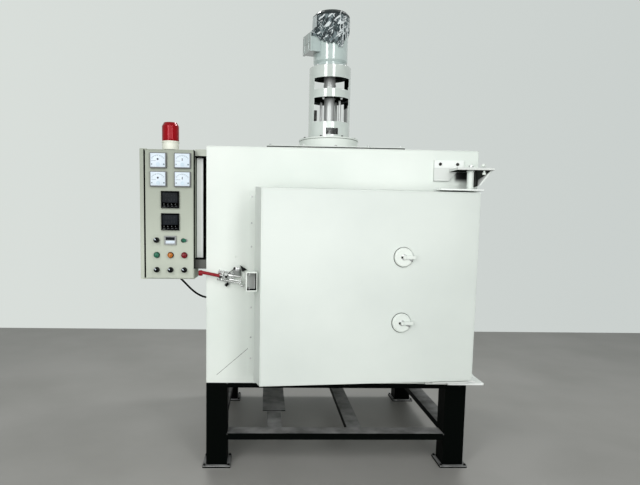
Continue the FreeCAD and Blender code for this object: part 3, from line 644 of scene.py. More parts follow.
for name, (colour, rough, spread, level) in PLASTICS.items():
    material(name, colour, rough)
    drift(*([min(1, part * share) for part in colour] for share in (1 - spread, 1 + spread)), 30, 3)
    low_bump(700, 0.08, 0.0002, 0.0008)
    shine(level)

material("screen_black", (0.008, 0.01, 0.01), 0.12)
drift((0.009, 0.011, 0.013), (0.016, 0.019, 0.023), 25, 2)
shine(0.035)
material("lens_red", (0.3, 0.001, 0.005), 0.07)
drift((0.18, 0.0005, 0.003), (0.28, 0.0008, 0.0045), 18, 2, (1, 1, 0.2))
low_bump(60, 0.03, 0.0003, 0.002)
feed(skin("Specular Tint"), (1, 0.28, 0.32))
print("plastics ready")

# %% [markdown]
# ## Put the finishes on the CAD nodes
#
# A CAD node whose shape is right stays, and only its material changes. A table from finish to
# nodes keeps that in one place.

# %% Dress the CAD nodes
FINISHES = {
    "stand_black": "legs foot_plates lower_beams upper_beams mid_rails",
    "white_enamel": "casing_sides casing_back casing_floor casing_roof throat_flange "
                    "port_covers latch_keeper",
    "pale_enamel": "door_hinges mount_strut",
    "front_enamel": "casing_front",
    "door_enamel": "door_casing",
    "roof_enamel": "roof_plate",
    "hinge_enamel": "hinge_brackets",
    "fibre_lining": "lining_sides lining_back lining_floor lining_roof lining_front door_plug",
    "drive_grey": "motor fan_cowl",
    "drum_enamel": "drive_flange",
    "lantern_grey": "lantern",
    "terminal_grey": "terminal_box",
    "shaft_steel": "drive_shaft fan_wheel",
    "latch_steel": "latch_base latch_lever latch_hook",
    "grip_red": "latch_grip",
    "cabinet_grey": "cabinet_shell cabinet_band cabinet_leaf",
    "mount_grey": "cabinet_mount",
    "cream_plastic": "beacon_base",
    "lens_red": "beacon_lens",
    "bezel_grey": "meters",
    "black_plastic": "controllers selector_knobs cable_glands",
    "silver_plastic": "counter",
    "green_cap": "green_buttons",
    "orange_cap": "orange_button",
    "red_cap": "red_button",
}
dressed = 0
for finish, names in FINISHES.items():
    for name in names.split():
        skins = bpy.data.objects[name].data.materials
        skins.clear()
        skins.append(PAINTS[finish])
        dressed += 1
print("dressed", dressed, "CAD nodes")

# %% [markdown]
# ## The conduit
#
# A black conduit leaves the back of the cabinet, bends down and enters the side of the box. It
# is short and held at both ends, so it keeps its own curve. A NURBS curve through the points of
# the route, with a round bevel, gives the smooth line that stiff conduit takes.

# %% Conduit
ROUTE = [(-982, 164.3, 1111), (-982, 206, 1111), (-952, 248, 1085), (-821.3, 248, 949),
         (-766.3, 248, 949)]
line = bpy.data.curves.new("conduit", "CURVE")
line.dimensions = "3D"
strand = line.splines.new("NURBS")
strand.points.add(len(ROUTE) - 1)
for point, place in zip(strand.points, ROUTE):
    point.co = (*spot(*place), 1)
strand.order_u = 3
strand.use_endpoint_u = True
strand.resolution_u = 16
line.bevel_depth = 6 * MM
line.bevel_resolution = 6
line.use_fill_caps = True
line.materials.append(PAINTS["cable_black"])
conduit = bpy.data.objects.new("conduit", line)
bpy.context.collection.objects.link(conduit)
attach(conduit, "furnace")
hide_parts("cabinet_cable")
print("conduit ready")

# %% [markdown]
# ## One bolt, one screw, many copies
#
# The real furnace is held together by hexagon bolts and small dome screws. Each is modelled
# once, standing at the scene's origin, and copied. A bolt head is a six-sided disc whose
# corners are turned off by a bevel, on a round washer, with a short thread end. A screw is a
# low dome with a small socket.

# %% Bolts and screws
def disc(sides, radius, low, high, *rounding):
    """Upright disc between two heights, with rounded edges."""
    obj = start(bpy.ops.mesh.primitive_cylinder_add, vertices=sides, radius=radius * MM,
                depth=(high - low) * MM, location=(0, 0, (low + high) / 2 * MM))
    return round_edges(bake(obj), *rounding)


def bolt(name, across, high):
    """Hexagon head, washer and thread end, standing on the plane Z = 0."""
    return joined(name, [disc(6, across / sqrt(3), 1.2, high + 1.2, 0.09 * across, 2, 50),
                         disc(28, 0.62 * across, 0, 1.6, 0.4, 1),
                         disc(20, 0.27 * across, high + 0.5, high + 3.5, 0.5, 1)])


big_bolt = bolt("big_bolt", 24, 12)
small_bolt = bolt("small_bolt", 14, 7)
screw = joined("screw", [lathe((ORIGIN_X, ORIGIN_Y, 0), [(5, 0), (4.7, 1.4), (3.384, 2.5),
                                                         (1.15056, 3), (1.15056, 2)], "z", 20, 35)])
MODELS = [big_bolt, small_bolt, screw]
print("bolt and screw models ready")

# %% [markdown]
# ## Stand: welds and foot bolts
#
# The beams are welded between the legs. A weld is a low ragged bead, so it is a thin round bar
# with many rings whose points are pushed about a little. The foot plates get one anchor bolt
# near each corner, as such stands have, and a bright line along their front edges: a painted
# highlight.

# %% Stand details
BEAD = 3
LEG_SPANS = ((-SIDE_X, LEG_W - SIDE_X), (SIDE_X - STAND_IN - LEG_W, SIDE_X - STAND_IN))
REAR_LEG_Y = BOX_D - LEG_W


def weld(x, y, low, high):
    """Upright weld bead: a bar whose rings swell and shrink."""
    a, b = spot(x, y, low), spot(x, y, high)
    length = (b - a).length
    rings = max(4, int(length / (0.9 * BEAD * MM)))
    obj = start(bpy.ops.mesh.primitive_cylinder_add, vertices=8, radius=BEAD * MM, depth=length)
    mode("EDIT")
    all_faces()
    bpy.ops.mesh.bisect(plane_co=(0, 0, 0), plane_no=(0, 0, 1))
    all_faces()
    bpy.ops.mesh.subdivide(number_cuts=1)
    mode("OBJECT")
    for vertex in obj.data.vertices:
        swell = 1 + 0.22 * sin(vertex.co.z / length * rings * pi)
        vertex.co.x *= swell
        vertex.co.y *= swell
    bpy.ops.object.shade_smooth()
    upright = (b - a).to_track_quat("Z", "Y").to_matrix().to_4x4()
    return bake(obj, Matrix.Translation((a + b) / 2) @ upright)


beads = [weld(x, y, *span) for x in (LEG_SPANS[0][1], LEG_SPANS[1][0])
         for y in (1, BOX_D - 1) for span in ((162, 196), (469, 492))]
piece("stand_welds", beads, "stand_black")
corners = [(x, y, 12) for left, right in LEG_SPANS for x in (left - 10, right + 10)
           for y in (-10, LEG_W + 10, REAR_LEG_Y - 10, BOX_D + 10)]
piece("foot_bolts", copies(small_bolt, corners), "dark_steel")
# Painted highlight: a bright strip along the front edge of each foot plate.
rims = [slab((left - 19, right + 19), (y, y + 1.2), (8, 12.3), 0.3, 1)
        for left, right in LEG_SPANS for y in (-20.3, REAR_LEG_Y - 20.3)]
piece("foot_plate_rims", rims, "zinc_bolt")
print("stand details ready")

# %% [markdown]
# ## Box: seams, screws and the edge of the roof
#
# The skin is folded sheet. Where two sheets meet there is a fine seam, and the flange around
# the door opening is held by small dome screws. A seam is modelled as a narrow strip with
# rounded edges that stands a fraction of a millimetre proud: it catches light on one side and
# shades the other, as a folded lip does.

# %% Box details
ACROSS, UPWARD = (1 - SIDE_X, SIDE_X - 1), (LEG_H + 2, ROOF_Z - 6)
lips = strips((-0.9, 0.5), (ACROSS, (ROOF_Z - 5.5, ROOF_Z - 4.2)),
              ((3 - SIDE_X, 4.2 - SIDE_X), UPWARD), ((SIDE_X - 4.2, SIDE_X - 3), UPWARD),
              (ACROSS, (LEG_H + 4.2, LEG_H + 5.5)))
piece("front_lips", lips, "white_enamel")

flange = [(-501, -4, z) for z in (640, 760, 930, 1270, 1400, 1545)]
flange += [(x, -4, z) for z in (1566, 584) for x in (-400, -200, 0, 200, 400, 600)]
piece("flange_screws", copies(screw, flange, "-y"), "zinc_bolt")
piece("face_screw", copies(screw, [(-588, 0, 1213)], "-y"), "white_enamel")
ring = [(x, y) for x in (-390, -195, 0, 195, 390) for y in (-390, 390)]
ring += [(x, y) for x in (-390, 390) for y in (-195, 0, 195)]
ring = [(FAN_X + x, FAN_Y + y, ROOF_PLATE_Z) for x, y in ring]
piece("roof_plate_bolts", copies(small_bolt, ring), "zinc_bolt")
print("box details ready")

# %% [markdown]
# ## Door: folded rim and the two port covers
#
# The door is a thick insulated slab with sloped edges. Its front sheet is folded over the rim,
# which shows as a fine line a few millimetres in. Each round cover sits under a wing nut: a
# centre stud between two small ears, with a retaining lever that points down to the right.

# %% Door details
DOOR_X0, DOOR_X1, DOOR_Z0, DOOR_Z1 = HINGE_X - 1133.4, HINGE_X + 19.9, 568.6, 1575.4
COVER_X = HINGE_X - 391
ACROSS, UPWARD = (DOOR_X0 + 5, DOOR_X1 - 5), (DOOR_Z0 + 5, DOOR_Z1 - 5)
rim = strips((DOOR_Y - 0.5, DOOR_Y + 0.4), (ACROSS, (DOOR_Z1 - 6.4, DOOR_Z1 - 5.2)),
             (ACROSS, (DOOR_Z0 + 5.2, DOOR_Z0 + 6.4)), ((DOOR_X0 + 5.2, DOOR_X0 + 6.4), UPWARD),
             ((DOOR_X1 - 6.4, DOOR_X1 - 5.2), UPWARD))
piece("door_rim", rim, "door_enamel", "door")

for label, z in (("upper", 1236), ("lower", 892)):
    at = (COVER_X, DOOR_Y, z)
    piece("cover_ring_" + label,
          lathe((COVER_X, DOOR_Y - 0.5, z), [(52, 0), (52.6, 0.6), (52.6, 1.6), (50, 2)], "-y", 64),
          "dark_steel", "door")
    piece("cover_stud_" + label,
          [lathe((COVER_X, DOOR_Y - 13, z), [(15, 0), (15, 3), (12, 5)], "-y", 32),
           lathe((COVER_X, DOOR_Y - 14, z), [(6.5, 0), (6.5, 8), (5, 10)], "-y", 24)],
          "zinc_bolt", "door")
    ears = [slab(around(dx, 4), (-22, -13.5), (-6, 6), 2.5, 3, at) for dx in (-13, 12)]
    piece("cover_ears_" + label, ears, "dark_steel", "door")
    lever = slab((14, 50), (-20, -14), (-6, 3), 2, 3, at)
    piece("cover_lever", turned(lever, (COVER_X + 14, DOOR_Y, z), radians(32), "Y"),
          "zinc_bolt", "door")
print("door details ready")

# %% [markdown]
# ## Hinges: bolts, a nut and the barrel
#
# The top hinge carries the door. Two bolts hold its wall plate to the box, an adjusting bolt
# goes through the arm, and a white barrel stands on the door strap around the pin. A thin
# plate with one sloped side closes the corner under the arm.

# %% Hinge details
ARM_Z = 1697
piece("hinge_barrel",
      [lathe((HINGE_X, HINGE_Y, 1596), [(17, 0), (18, 1), (18, 94), (17, 95)], "z", 36),
       lathe((HINGE_X, HINGE_Y, 1692), [(21, 0), (21, 4.4)], "z", 36)],
      "white_enamel", "door")
piece("hinge_wall_bolts", copies(small_bolt, [(533, -14, 1738), (629, -14, 1738)], "-y"),
      "dark_steel")
adjuster = copies(big_bolt, [(735, -112, ARM_Z + 20)])
adjuster.append(lathe((735, -122, ARM_Z - 24),
                      [(9, 0), (10.5, 1.5), (10.5, 12), (6, 13), (6, 23.8)], "z", 24))
piece("hinge_adjuster", adjuster, "white_enamel")
plate = slab((691, 783), (-117, -113), (1618, ARM_Z), 0)
piece("hinge_corner", cut(plate, ((782, -115, ARM_Z), (0.8, 0, -0.6))), "corner_enamel")
piece("hinge_pin_cap",
      lathe((HINGE_X, HINGE_Y, ARM_Z + 20.2), [(13, 0), (13, 4), (9, 7)], "z", 32),
      "zinc_bolt", "door")
print("hinge details ready")

# %% [markdown]
# ## The pull latch
#
# The latch is bought ready made: bright steel, with a red grip on its lever and a U-shaped hook
# that reaches for the keeper on the door. The CAD gives the lever, the hook and the base. The
# small forms between them, such as the eye, the nuts and the link plate, are what the eye reads
# as a mechanism.

# %% Latch details
piece("latch_neck", lathe((-674, LATCH_Y - 2, 1104.5),
                          [(7, 0), (8, 1), (8, 6), (6, 7.5), (6, 16)], "x", 28),
      "dark_steel", "latch_lever")
piece("latch_eye", lathe((-644, LATCH_Y - 6.2, LATCH_Z),
                         [(10.5, 0), (12, 1.5), (12, 4), (9.5, 7), (5, 7)], "-y", 40),
      "latch_steel", "latch_lever")
piece("latch_eye_pin", lathe((-636, LATCH_Y - 12.6, LATCH_Z + 3),
                             [(7, 0), (7, 1.6), (5, 2.4)], "-y", 24),
      "dark_steel", "latch_lever")
piece("grip_end", lathe((-787, LATCH_Y, 1124), [(11, 0), (15, 3), (15.5, 16), (13, 22)], "x", 32),
      "grip_red", "latch_lever")


def bar(start_at, end_at, y, thick, deep):
    """Flat bar between two places (x, z) on the furnace front."""
    (x0, z0), (x1, z1) = start_at, end_at
    flat = slab((x0, x0 + hypot(x1 - x0, z1 - z0)), around(y, deep / 2),
                around(z0, thick / 2), 1.2, 2)
    return turned(flat, (x0, y, z0), -atan2(z1 - z0, x1 - x0), "Y")


piece("hook_bars", [bar((-622, 1112), (-548, 1106), -48, 6, 8),
                    bar((-617, 1091), (-540, 1077), -48, 7, 8)], "latch_steel", "latch_hook")
piece("latch_link", [bar((-630, 1118), (-592, 1149), -28, 4, 4),
                     lathe((-592, -26, 1150), [(6, 0), (7, 2), (7, 6), (5, 8)], "-y", 20)],
      "dark_steel")
piece("latch_body", [slab((-597, -564), (-26, -8), (1109, 1149), 4, 3),
                     slab((-604, -556), (-9.5, -8), (1100, 1142), 1, 2)], "cast_grey")
piece("latch_block", slab((-587, -562), (-34, -20), (1134, 1156), 2.5, 3), "zinc_bolt")
wedge = cut(slab((-565, -522), (-30, -14), (1130, 1168), 0),
            ((-562, -20, 1167), (0.52, 0, 0.85)), ((-562, -20, 1167), (-0.94, 0, -0.35)),
            ((-549, -20, 1132), (0.43, 0, -0.9)))
piece("catch_wedge", round_edges(wedge, 0.8, 2), "cable_black")
piece("latch_foot", bar((-643, 1051), (-627, 1066), -14, 15, 10), "cable_black")
piece("latch_stop", slab((-556, -543), (-22, -9), (1047, 1058), 2, 3), "zinc_bolt")
base = [(LATCH_X + dx, LATCH_Y + 38, LATCH_Z + dz) for dx in (-38, 38) for dz in (-22, 22)]
turned(piece("latch_screws", copies(screw, base, "-y"), "zinc_bolt"),
       (LATCH_X, LATCH_Y, LATCH_Z), LATCH_TILT, "Y")

KEEP = KEEP_X, KEEP_Y, KEEP_Z = HINGE_X - 1173.4, HINGE_Y - 5, 1102
INNER_X, INNER_Z, DEEP = (-23.5, 23.5), (-43.5, 43.5), (-32, 31)
catches = [lathe((KEEP_X - 12, KEEP_Y - 25, KEEP_Z + dz), [(3.5, 0), (3.5, 50)], "y", 20)
           for dz in (-36, 36)]
piece("keeper_catches", catches, "zinc_bolt", "door")
# Painted shade: thin black plates inside the keeper and a dark plate at its back stand for the
# shade in its hollow.
lining = [slab(around(dx, 0.5), DEEP, INNER_Z, 0.2, 1, KEEP) for dx in (-23.6, 23.6)]
lining += [slab(INNER_X, DEEP, around(dz, 0.5), 0.2, 1, KEEP) for dz in (-43.4, 43.4)]
piece("keeper_inner_shade", lining, "shade_black", "door")
piece("keeper_rear", slab(INNER_X, (31, 32.4), INNER_Z, 0.3, 1, KEEP), "keeper_grey", "door")
print("latch details ready")

# %% [markdown]
# ## Cabinet instruments
#
# Four panel meters, two controllers, a counter, buttons and knobs sit on the cabinet door, so
# all of them ride on it. A meter is a dark frame around a white dial, with a scale of short
# strokes on an arc and a needle. One meter is built by a function, and the middle mark changes
# from dial to dial. The dials carry strokes only, no words.

# %% Meters
METER_Y = CAB_Y - 14
STROKES, FIRST, SWEEP = 19, 37, 106


def fitting(name, parts, finish):
    """A piece that rides on the cabinet door."""
    return piece(name, parts, finish, "cabinet_door")


def meter(name, x, z, middle):
    """White dial with an arc of strokes; the middle mark is a dot or a bar."""
    at, flat = (x, METER_Y, z), (-1.7, -1.1)
    fitting(name + "_face", slab((-40, 38), (-1.2, 1), (-35, 37), 1.2, 2, at),
            "dial_white")
    marks = []
    for count in range(STROKES):
        angle = radians(FIRST + SWEEP / (STROKES - 1) * count)
        inner = 37 if count % 3 else 34
        stroke = slab((inner, 41), flat, (-13.7, -12.3), 0, at=at)
        marks.append(turned(stroke, (x - 1, METER_Y, z - 13), -angle, "Y"))
    marks.append(slab((-36, -10), (-2.5, -1.9), (-3.6, -2.2), 0, at=at))
    for foot in ((-35.5, -30.5), (27, 35)):
        marks.append(slab(foot, flat, (-24, -17), 0.2, 1, at))
    fitting(name + "_marks", marks, "dial_grey")
    if middle == "dot":
        sign = lathe((x - 1, METER_Y - 1.7, z + 6), [(5.2, 0), (5.2, 0.5)], "-y", 24)
    else:
        sign = slab((-2.6, 1.4), (-2.1, -1.1), (-1, 12), 0.2, 1, at)
    fitting(name + "_sign", sign, "dial_ink")
    hub = lathe((x, METER_Y - 2, z - 21), [(10, 0), (10, 0.5), (8, 0.7), (7.6, 0.4)], "-y", 28)
    fitting(name + "_hub", hub, "hub_blue")


for row, z in enumerate((1723.75, 1626.25)):
    for column, (x, middle) in enumerate(((-997.25, "dot"), (-868.75, "bar"))):
        meter("meter_%d%d" % (row, column), x, z, middle)
print("meters ready")

# %% [markdown]
# ## Controllers, counter, buttons and knobs
#
# The two square controllers are nearly black: a raised frame, a glossy window with unlit
# figures, and a row of keys below. The frame is made as by hand: a block whose front face is
# inset and pushed back. The buttons get a dark collar and a domed cap, and the knobs a bar
# handle with a pale pointer, large enough to stand also for the glint on each knob: partly a
# real pointer, partly a painted highlight.

# %% Controllers and counter
def framed(at, wide, tall, border, depth):
    """Block whose front face is inset and pushed back, as a moulded frame."""
    block = slab(around(0, wide / 2), (0, depth + 3), around(0, tall / 2), 0, at=at)
    work_on(block)
    mode("EDIT")
    bpy.ops.mesh.select_all(action="DESELECT")
    mode("OBJECT")
    for face in block.data.polygons:
        face.select = face.normal.y < -0.9
    mode("EDIT")
    bpy.ops.mesh.select_mode(type="FACE")
    bpy.ops.mesh.inset(thickness=border * MM)
    bpy.ops.transform.translate(value=(0, depth * MM, 0))
    mode("OBJECT")
    return round_edges(block, 0.8, 2)


for label, z in (("upper", 1518), ("lower", 1400)):
    at = (PANEL_X, CAB_Y - 15, z)
    fitting("controller_frame_" + label, framed(at, 95, 90, 5, 3), "black_plastic")
    fitting("controller_window_" + label, slab((-40, 40), (1.6, 4), (-16, 37), 0.6, 1, at),
            "screen_black")
    figures = []
    for row, tall in ((21, 9), (0, 6)):
        for middle in (-22, -7, 8, 23):
            left, right = around(middle, tall / 3)
            for span, reach in (((left, right), 0.6), (around(left, 0.6), tall),
                                (around(right, 0.6), tall)):
                figures.append(slab(span, (1.1, 1.8), around(row, reach), 0, at=at))
    fitting("controller_figures_" + label, figures, "figure_grey")
    keys = [slab(around(x, 6), (0.6, 4), (-36.5, -32.5), 1.2, 2, at) for x in (-31, -10, 11, 32)]
    fitting("controller_keys_" + label, keys, "key_grey")
    dots = [slab((x, x + 5), (0.8, 2), (-25, -22.5), 0.4, 1, at) for x in (-34, -14, 6, 26)]
    dots.append(slab((-40, -24), (0.2, 2), (-41, -39.4), 0.4, 1, at))
    fitting("controller_lamps_" + label, dots, "pale_ink")

ROW_A, ROW_B, ROW_C = 1301, 1221, 1141
at = (PANEL_X, CAB_Y - 13, ROW_A)
fitting("counter_frame", framed(at, 61, 46, 5, 2.4), "silver_plastic")
fitting("counter_window", slab((-24, 24), (1, 3.2), (1, 17), 0.6, 1, at), "screen_black")
fitting("counter_plate", slab((-24, 24), (0.6, 3.2), (-17, -2), 0.8, 2, at),
        "dial_white")
print("controllers and counter ready")

# %% Buttons and knobs
LEFT, MIDDLE, RIGHT = PANEL_X - 74, PANEL_X, PANEL_X + 74


def collar(x, z, radius):
    return lathe((x, CAB_Y - 0.4, z), [(radius, 0), (radius, 3), (radius - 2, 5), (radius - 5, 5)],
                 "-y", 36)


for label, x, z, edge, radius, deep in (
        ("green", LEFT, ROW_B, "green_rim", 14, 18),
        ("orange", MIDDLE, ROW_B, "black_plastic", 14, 18),
        ("red", RIGHT, ROW_B, "red_rim", 14, 18),
        ("lamp", RIGHT - 6, ROW_A, "green_rim", 9, 10)):
    colour = "green" if label == "lamp" else label
    fitting("collar_" + label, collar(x, z, radius + 3), edge)
    cap = lathe((x, CAB_Y - deep, z), [(radius - 3, 0), (radius - 3, 1.6), (radius - 4.5, 3),
                                       (radius - 8, 4), (1, 4.4)], "-y", 32)
    fitting("cap_" + label, cap, colour + "_cap")
fitting("lamp_ring", lathe((RIGHT + 8, CAB_Y - 0.4, ROW_A),
                           [(9, 0), (9, 3), (7, 4), (5.5, 4), (5.5, 2)], "-y", 32),
        "silver_plastic")
KNOBS = ((LEFT, ROW_A, 35), (LEFT, ROW_C, 30), (MIDDLE, ROW_C, 30), (RIGHT, ROW_C, 38))
fitting("knob_collars", [collar(x, z, 15) for x, z, angle in KNOBS], "black_plastic")

handles, glint_marks = [], []
for x, z, angle in KNOBS:
    handle = slab((-4.5, 4.5), (-33, -23), (-12.5, 12.5), 2.5, 3, (x, CAB_Y, z))
    # Pale pointer, large enough to stand for the glint on each knob: partly a painted highlight.
    glint_mark = slab((-2.6, 2.6), (-33.6, -32.6), (1, 11), 0.3, 1, (x, CAB_Y, z))
    for made, part in ((handles, handle), (glint_marks, glint_mark)):
        made.append(turned(part, (x, 0, z), radians(-angle), "Y"))
fitting("knob_handles", handles, "black_plastic")
fitting("knob_glint_marks", glint_marks, "dial_white")
print("buttons and knobs ready")

# %% [markdown]
# ## Cabinet body, mount and beacon
#
# The cabinet door is folded sheet, so it gets a fine lip near its edge. The gap beside it lies
# in deep shade, which is painted: thin black strips fill most of the gap and cover the door's
# left edge. The right side of the cabinet is in deep shade beside its mount, and that shade is
# painted with thin black plates. The beacon is a moulded base with a lip for its cover.

# %% Cabinet body and beacon
LEFT_EDGE, RIGHT_EDGE = (CAB_X0, CAB_Y, 0), (CAB_X1, CAB_Y, 0)
ACROSS, UPWARD = (CAB_X0 + 27, CAB_X1 - 1), (CAB_Z0 + 8, CAB_Z1 - 8)
folds = strips((CAB_Y - 0.7, CAB_Y + 0.4), (ACROSS, (CAB_Z1 - 10.4, CAB_Z1 - 9.4)),
               (ACROSS, (CAB_Z0 + 9.4, CAB_Z0 + 10.4)),
               ((CAB_X1 - 4.4, CAB_X1 - 3.4), (CAB_Z0 + 9, CAB_Z1 - 9)))
fitting("cabinet_folds", folds, "cabinet_grey")
# Painted shade: thin black strips in the gap beside the cabinet door and on the door's left edge.
gap_shade = [slab((19.8, 23.4), (1, 25), UPWARD, 0.8, 2, LEFT_EDGE),
        slab((19.8, 30), (26.3, 28), UPWARD, 0.5, 1, LEFT_EDGE)]
piece("cabinet_gap_shade", gap_shade, "shade_black")
fitting("leaf_edge", slab((25.7, 29), (-0.6, 18), UPWARD, 0.3, 1, LEFT_EDGE), "shade_black")
# Painted shade: thin black plates on the right sides of the door and the shell, beside the mount.
SHADED = (1146, CAB_Z1 - 1)
fitting("leaf_shade", slab((-0.2, 0.6), (1, 19), SHADED, 0.2, 1, RIGHT_EDGE),
        "shade_black")
piece("shell_shade", slab((-0.2, 0.9), (27, 61), SHADED, 0.2, 1, RIGHT_EDGE),
      "shade_black")
for name, z, profile, finish in (
        ("beacon_foot", CAB_Z1 + 0.2, [(48.4, 0), (48.4, 2.6), (46.6, 3.4)], "dark_steel"),
        ("beacon_lip", 1828, [(46.8, 0), (47.6, 1), (47.6, 6), (46.6, 7.4)], "cream_plastic")):
    piece(name, lathe((-947, 20, z), profile, "z", 56), finish)
print("cabinet and beacon ready")

# %% [markdown]
# ## Fan drive: bolts, rods and bearings
#
# The drum on the roof carries the lantern, and the motor sits on top. Through the windows one
# sees the shaft with its bearings, three tie rods, and nuts under the bridge.

# %% Fan drive details
AXIS = (FAN_X, FAN_Y, 0)


def round_the_drive(radius, first, count, z):
    """Places in a circle around the drive's axis."""
    angles = [radians(first + 360 / count * n) for n in range(count)]
    return [(FAN_X + radius * cos(a), FAN_Y + radius * sin(a), z) for a in angles]


piece("drum_bolts", copies(small_bolt, round_the_drive(176, 22.5, 8, LANTERN_Z)), "dark_steel")
# Painted shade: a dark ring for the shadow line under the drum's top disc.
piece("drum_shade_ring", lathe((FAN_X, FAN_Y, DRUM_TOP - 2.5), [(192.6, 0), (192.6, 2.5)], "z", 96),
      "dark_steel")
rings = [lathe((FAN_X, FAN_Y, LANTERN_Z + 0.4), [(138.5, 0), (138.5, 5), (136.8, 7)], "z", 96),
         lathe((FAN_X, FAN_Y, LANTERN_TOP + 3),
               [(115, 0), (115, 8), (112.5, 11), (101, 11)], "z", 96)]
piece("lantern_rings", rings, "drive_grey")
piece("motor_bolts", copies(small_bolt, round_the_drive(125, 45, 4, LANTERN_TOP + 0.3)),
      "zinc_bolt")
rods = [lathe((FAN_X + dx, FAN_Y + dy, LANTERN_Z + 14), [(8, 0), (8, 240)], "z", 24)
        for dx, dy in ((-50, 40), (48, 34), (66, -20))]
rods += copies(small_bolt, [(FAN_X + dx, FAN_Y - 104, BRIDGE_Z) for dx in (-50, 66)], "-z")
piece("lantern_rods", rods, "shaft_steel")
collars = [lathe((FAN_X, FAN_Y, z), profile) for z, profile in (
    (2262, [(39.5, 0), (41, 1), (41, 16), (39.5, 17)]),
    (2300, [(39.5, 0), (40.5, 1), (40.5, 8), (39.5, 9)]),
    (2004, [(34.5, 0), (38, 1), (38, 24), (34.5, 25)]))]
piece("shaft_collars", collars, "shaft_steel", "fan_rotor")
piece("lantern_sensor", slab((-106, -84), (-40, -8), (2075, 2140), 3, 3, AXIS), "dark_steel")
print("drive details ready")

# %% [markdown]
# ## Terminal box
#
# The lid of the terminal box has two upright ribs, a cross rib and four screws. All are
# modelled facing left and then turned with the box, a little towards the front.

# %% Terminal box details
TERM_TURN = radians(19)
LID = LID_X, LID_Y, LID_Z = FAN_X - 170, FAN_Y, LANTERN_TOP + 83
ribs = [slab((-3, 1), around(dy, 3), (8, 110), 1.5, 2, LID) for dy in (-31, 31)]
ribs.append(slab((-2.5, 1), (-56, 56), (54, 59), 1.2, 2, LID))
lid_screws = copies(screw, [(LID_X, LID_Y + dy, LID_Z + dz) for dy in (-53, 53)
                            for dz in (9, 109)], "-x")
turned(piece("terminal_ribs", ribs, "terminal_grey"), AXIS, TERM_TURN)
turned(piece("terminal_screws", lid_screws, "zinc_bolt"), AXIS, TERM_TURN)
print("terminal box ready")

# %% [markdown]
# ## The torn film over the motor
#
# The clear wrapping film was never quite taken off: it still clings to the fan cowl and the
# upper motor, crumpled, with a ragged lower edge that hangs over the terminal box. Clear film
# in many folds looks dark between its bright creases. So the colour is built up in layers:
# long leaning facets, some paler, some darker and a few bright, then thin bright lines, at
# the right the long strands of a tear, and three upright bright stripes. The bright facets, the
# lines, the brightness of the strands and the stripes are painted highlights: the light that
# the creases catch. The form starts as a flat grid, is rolled around the motor and pushed in
# and out by sums of waves. Its faces stay flat, so each one catches its own light.

# %% Film
material("clear_film", (0.05, 0.07, 0.072), 0.2)
shine(0.2)
drift((0.022, 0.034, 0.038), (0.12, 0.16, 0.165), 30, 5)


def cells(tilt, scale, length, **settings):
    """Pattern of long cells that lean by an angle."""
    lean = node("Mapping", Vector=where(), Rotation=(0, radians(tilt), 0))
    squeeze = node("Mapping", Vector=lean, Scale=(1, 0.6, length))
    return node("TexVoronoi", Vector=squeeze, Scale=scale, **settings)


# Paler, darker and bright facets; the bright ones are painted highlights.
for tilt, scale, share, tone in ((38, 84, 0.62, (0.17, 0.215, 0.225)),
                                 (-24, 96, 0.66, (0.03, 0.042, 0.046)),
                                 (-52, 104, 0.85, (0.72, 0.78, 0.79))):
    chance = node("SeparateXYZ", cells(tilt, scale, 0.2, out="Color"))
    paint_over(calc("GREATER_THAN", chance, share), tone)
broken = calc("GREATER_THAN", noise(30, 2), 0.5)
# Thin bright lines: painted highlights on the creases.
for tilt, scale, width in ((38, 30, 0.016), (-50, 27, 0.014)):
    edge = cells(tilt, scale, 0.28, feature="DISTANCE_TO_EDGE", out="Distance")
    paint_over(every(calc("LESS_THAN", edge, width), broken), (0.84, 0.9, 0.91))
# Strands of the tear, painted bright as highlights.
strand = calc("GREATER_THAN", noise(75, 2, (1, 1, 0.06)), 0.62)
paint_over(every(strand, zone(X=(FAN_X + 52, FAN_X + 130))), (0.78, 0.84, 0.85))
paint_over(zone(Z=(2720, 2760)), (0.025, 0.034, 0.036))
paint_over(zone(X=(FAN_X - 140, FAN_X - 100), Z=(2655, 2728)), (0.6, 0.66, 0.66))
# Painted highlights: three upright bright stripes.
for left, right, low, high in ((45, 49, 2620, 2738), (66, 69, 2560, 2700), (84, 88, 2530, 2660)):
    paint_over(zone(X=(FAN_X + left, FAN_X + right), Z=(low, high)), (0.82, 0.88, 0.89))

TORN_EDGE = [(-180, 2622), (-120, 2632), (-92, 2634), (-74, 2618), (-50, 2590), (-38, 2566),
             (-15, 2541), (8, 2545), (22, 2520), (32, 2524), (40, 2566), (60, 2606), (85, 2640),
             (130, 2610), (180, 2622)]
AROUND, ROWS, WRAP = 180, 44, 356


def torn_height(degrees):
    """Height of the torn edge at an angle, from the front and to the right."""
    for (a0, z0), (a1, z1) in zip(TORN_EDGE, TORN_EDGE[1:]):
        if a0 <= degrees <= a1:
            return z0 + (z1 - z0) * (degrees - a0) / (a1 - a0)
    return TORN_EDGE[-1][1]


def film_radius(degrees, z):
    """Radius of the film: on the cowl, drawn in at its top, and out over the terminal box."""
    radius = COWL_RADIUS - 0.82 * max(0, z - COWL_EDGE)
    turn = radians(degrees)
    reach = 0.3256 * sin(turn) + 0.9455 * cos(turn)
    if -50 <= degrees <= -34 and z < 2650:
        share = min(1, (2650 - z) / 38)
        radius += share * max(0, 65 / reach - radius)
    return radius


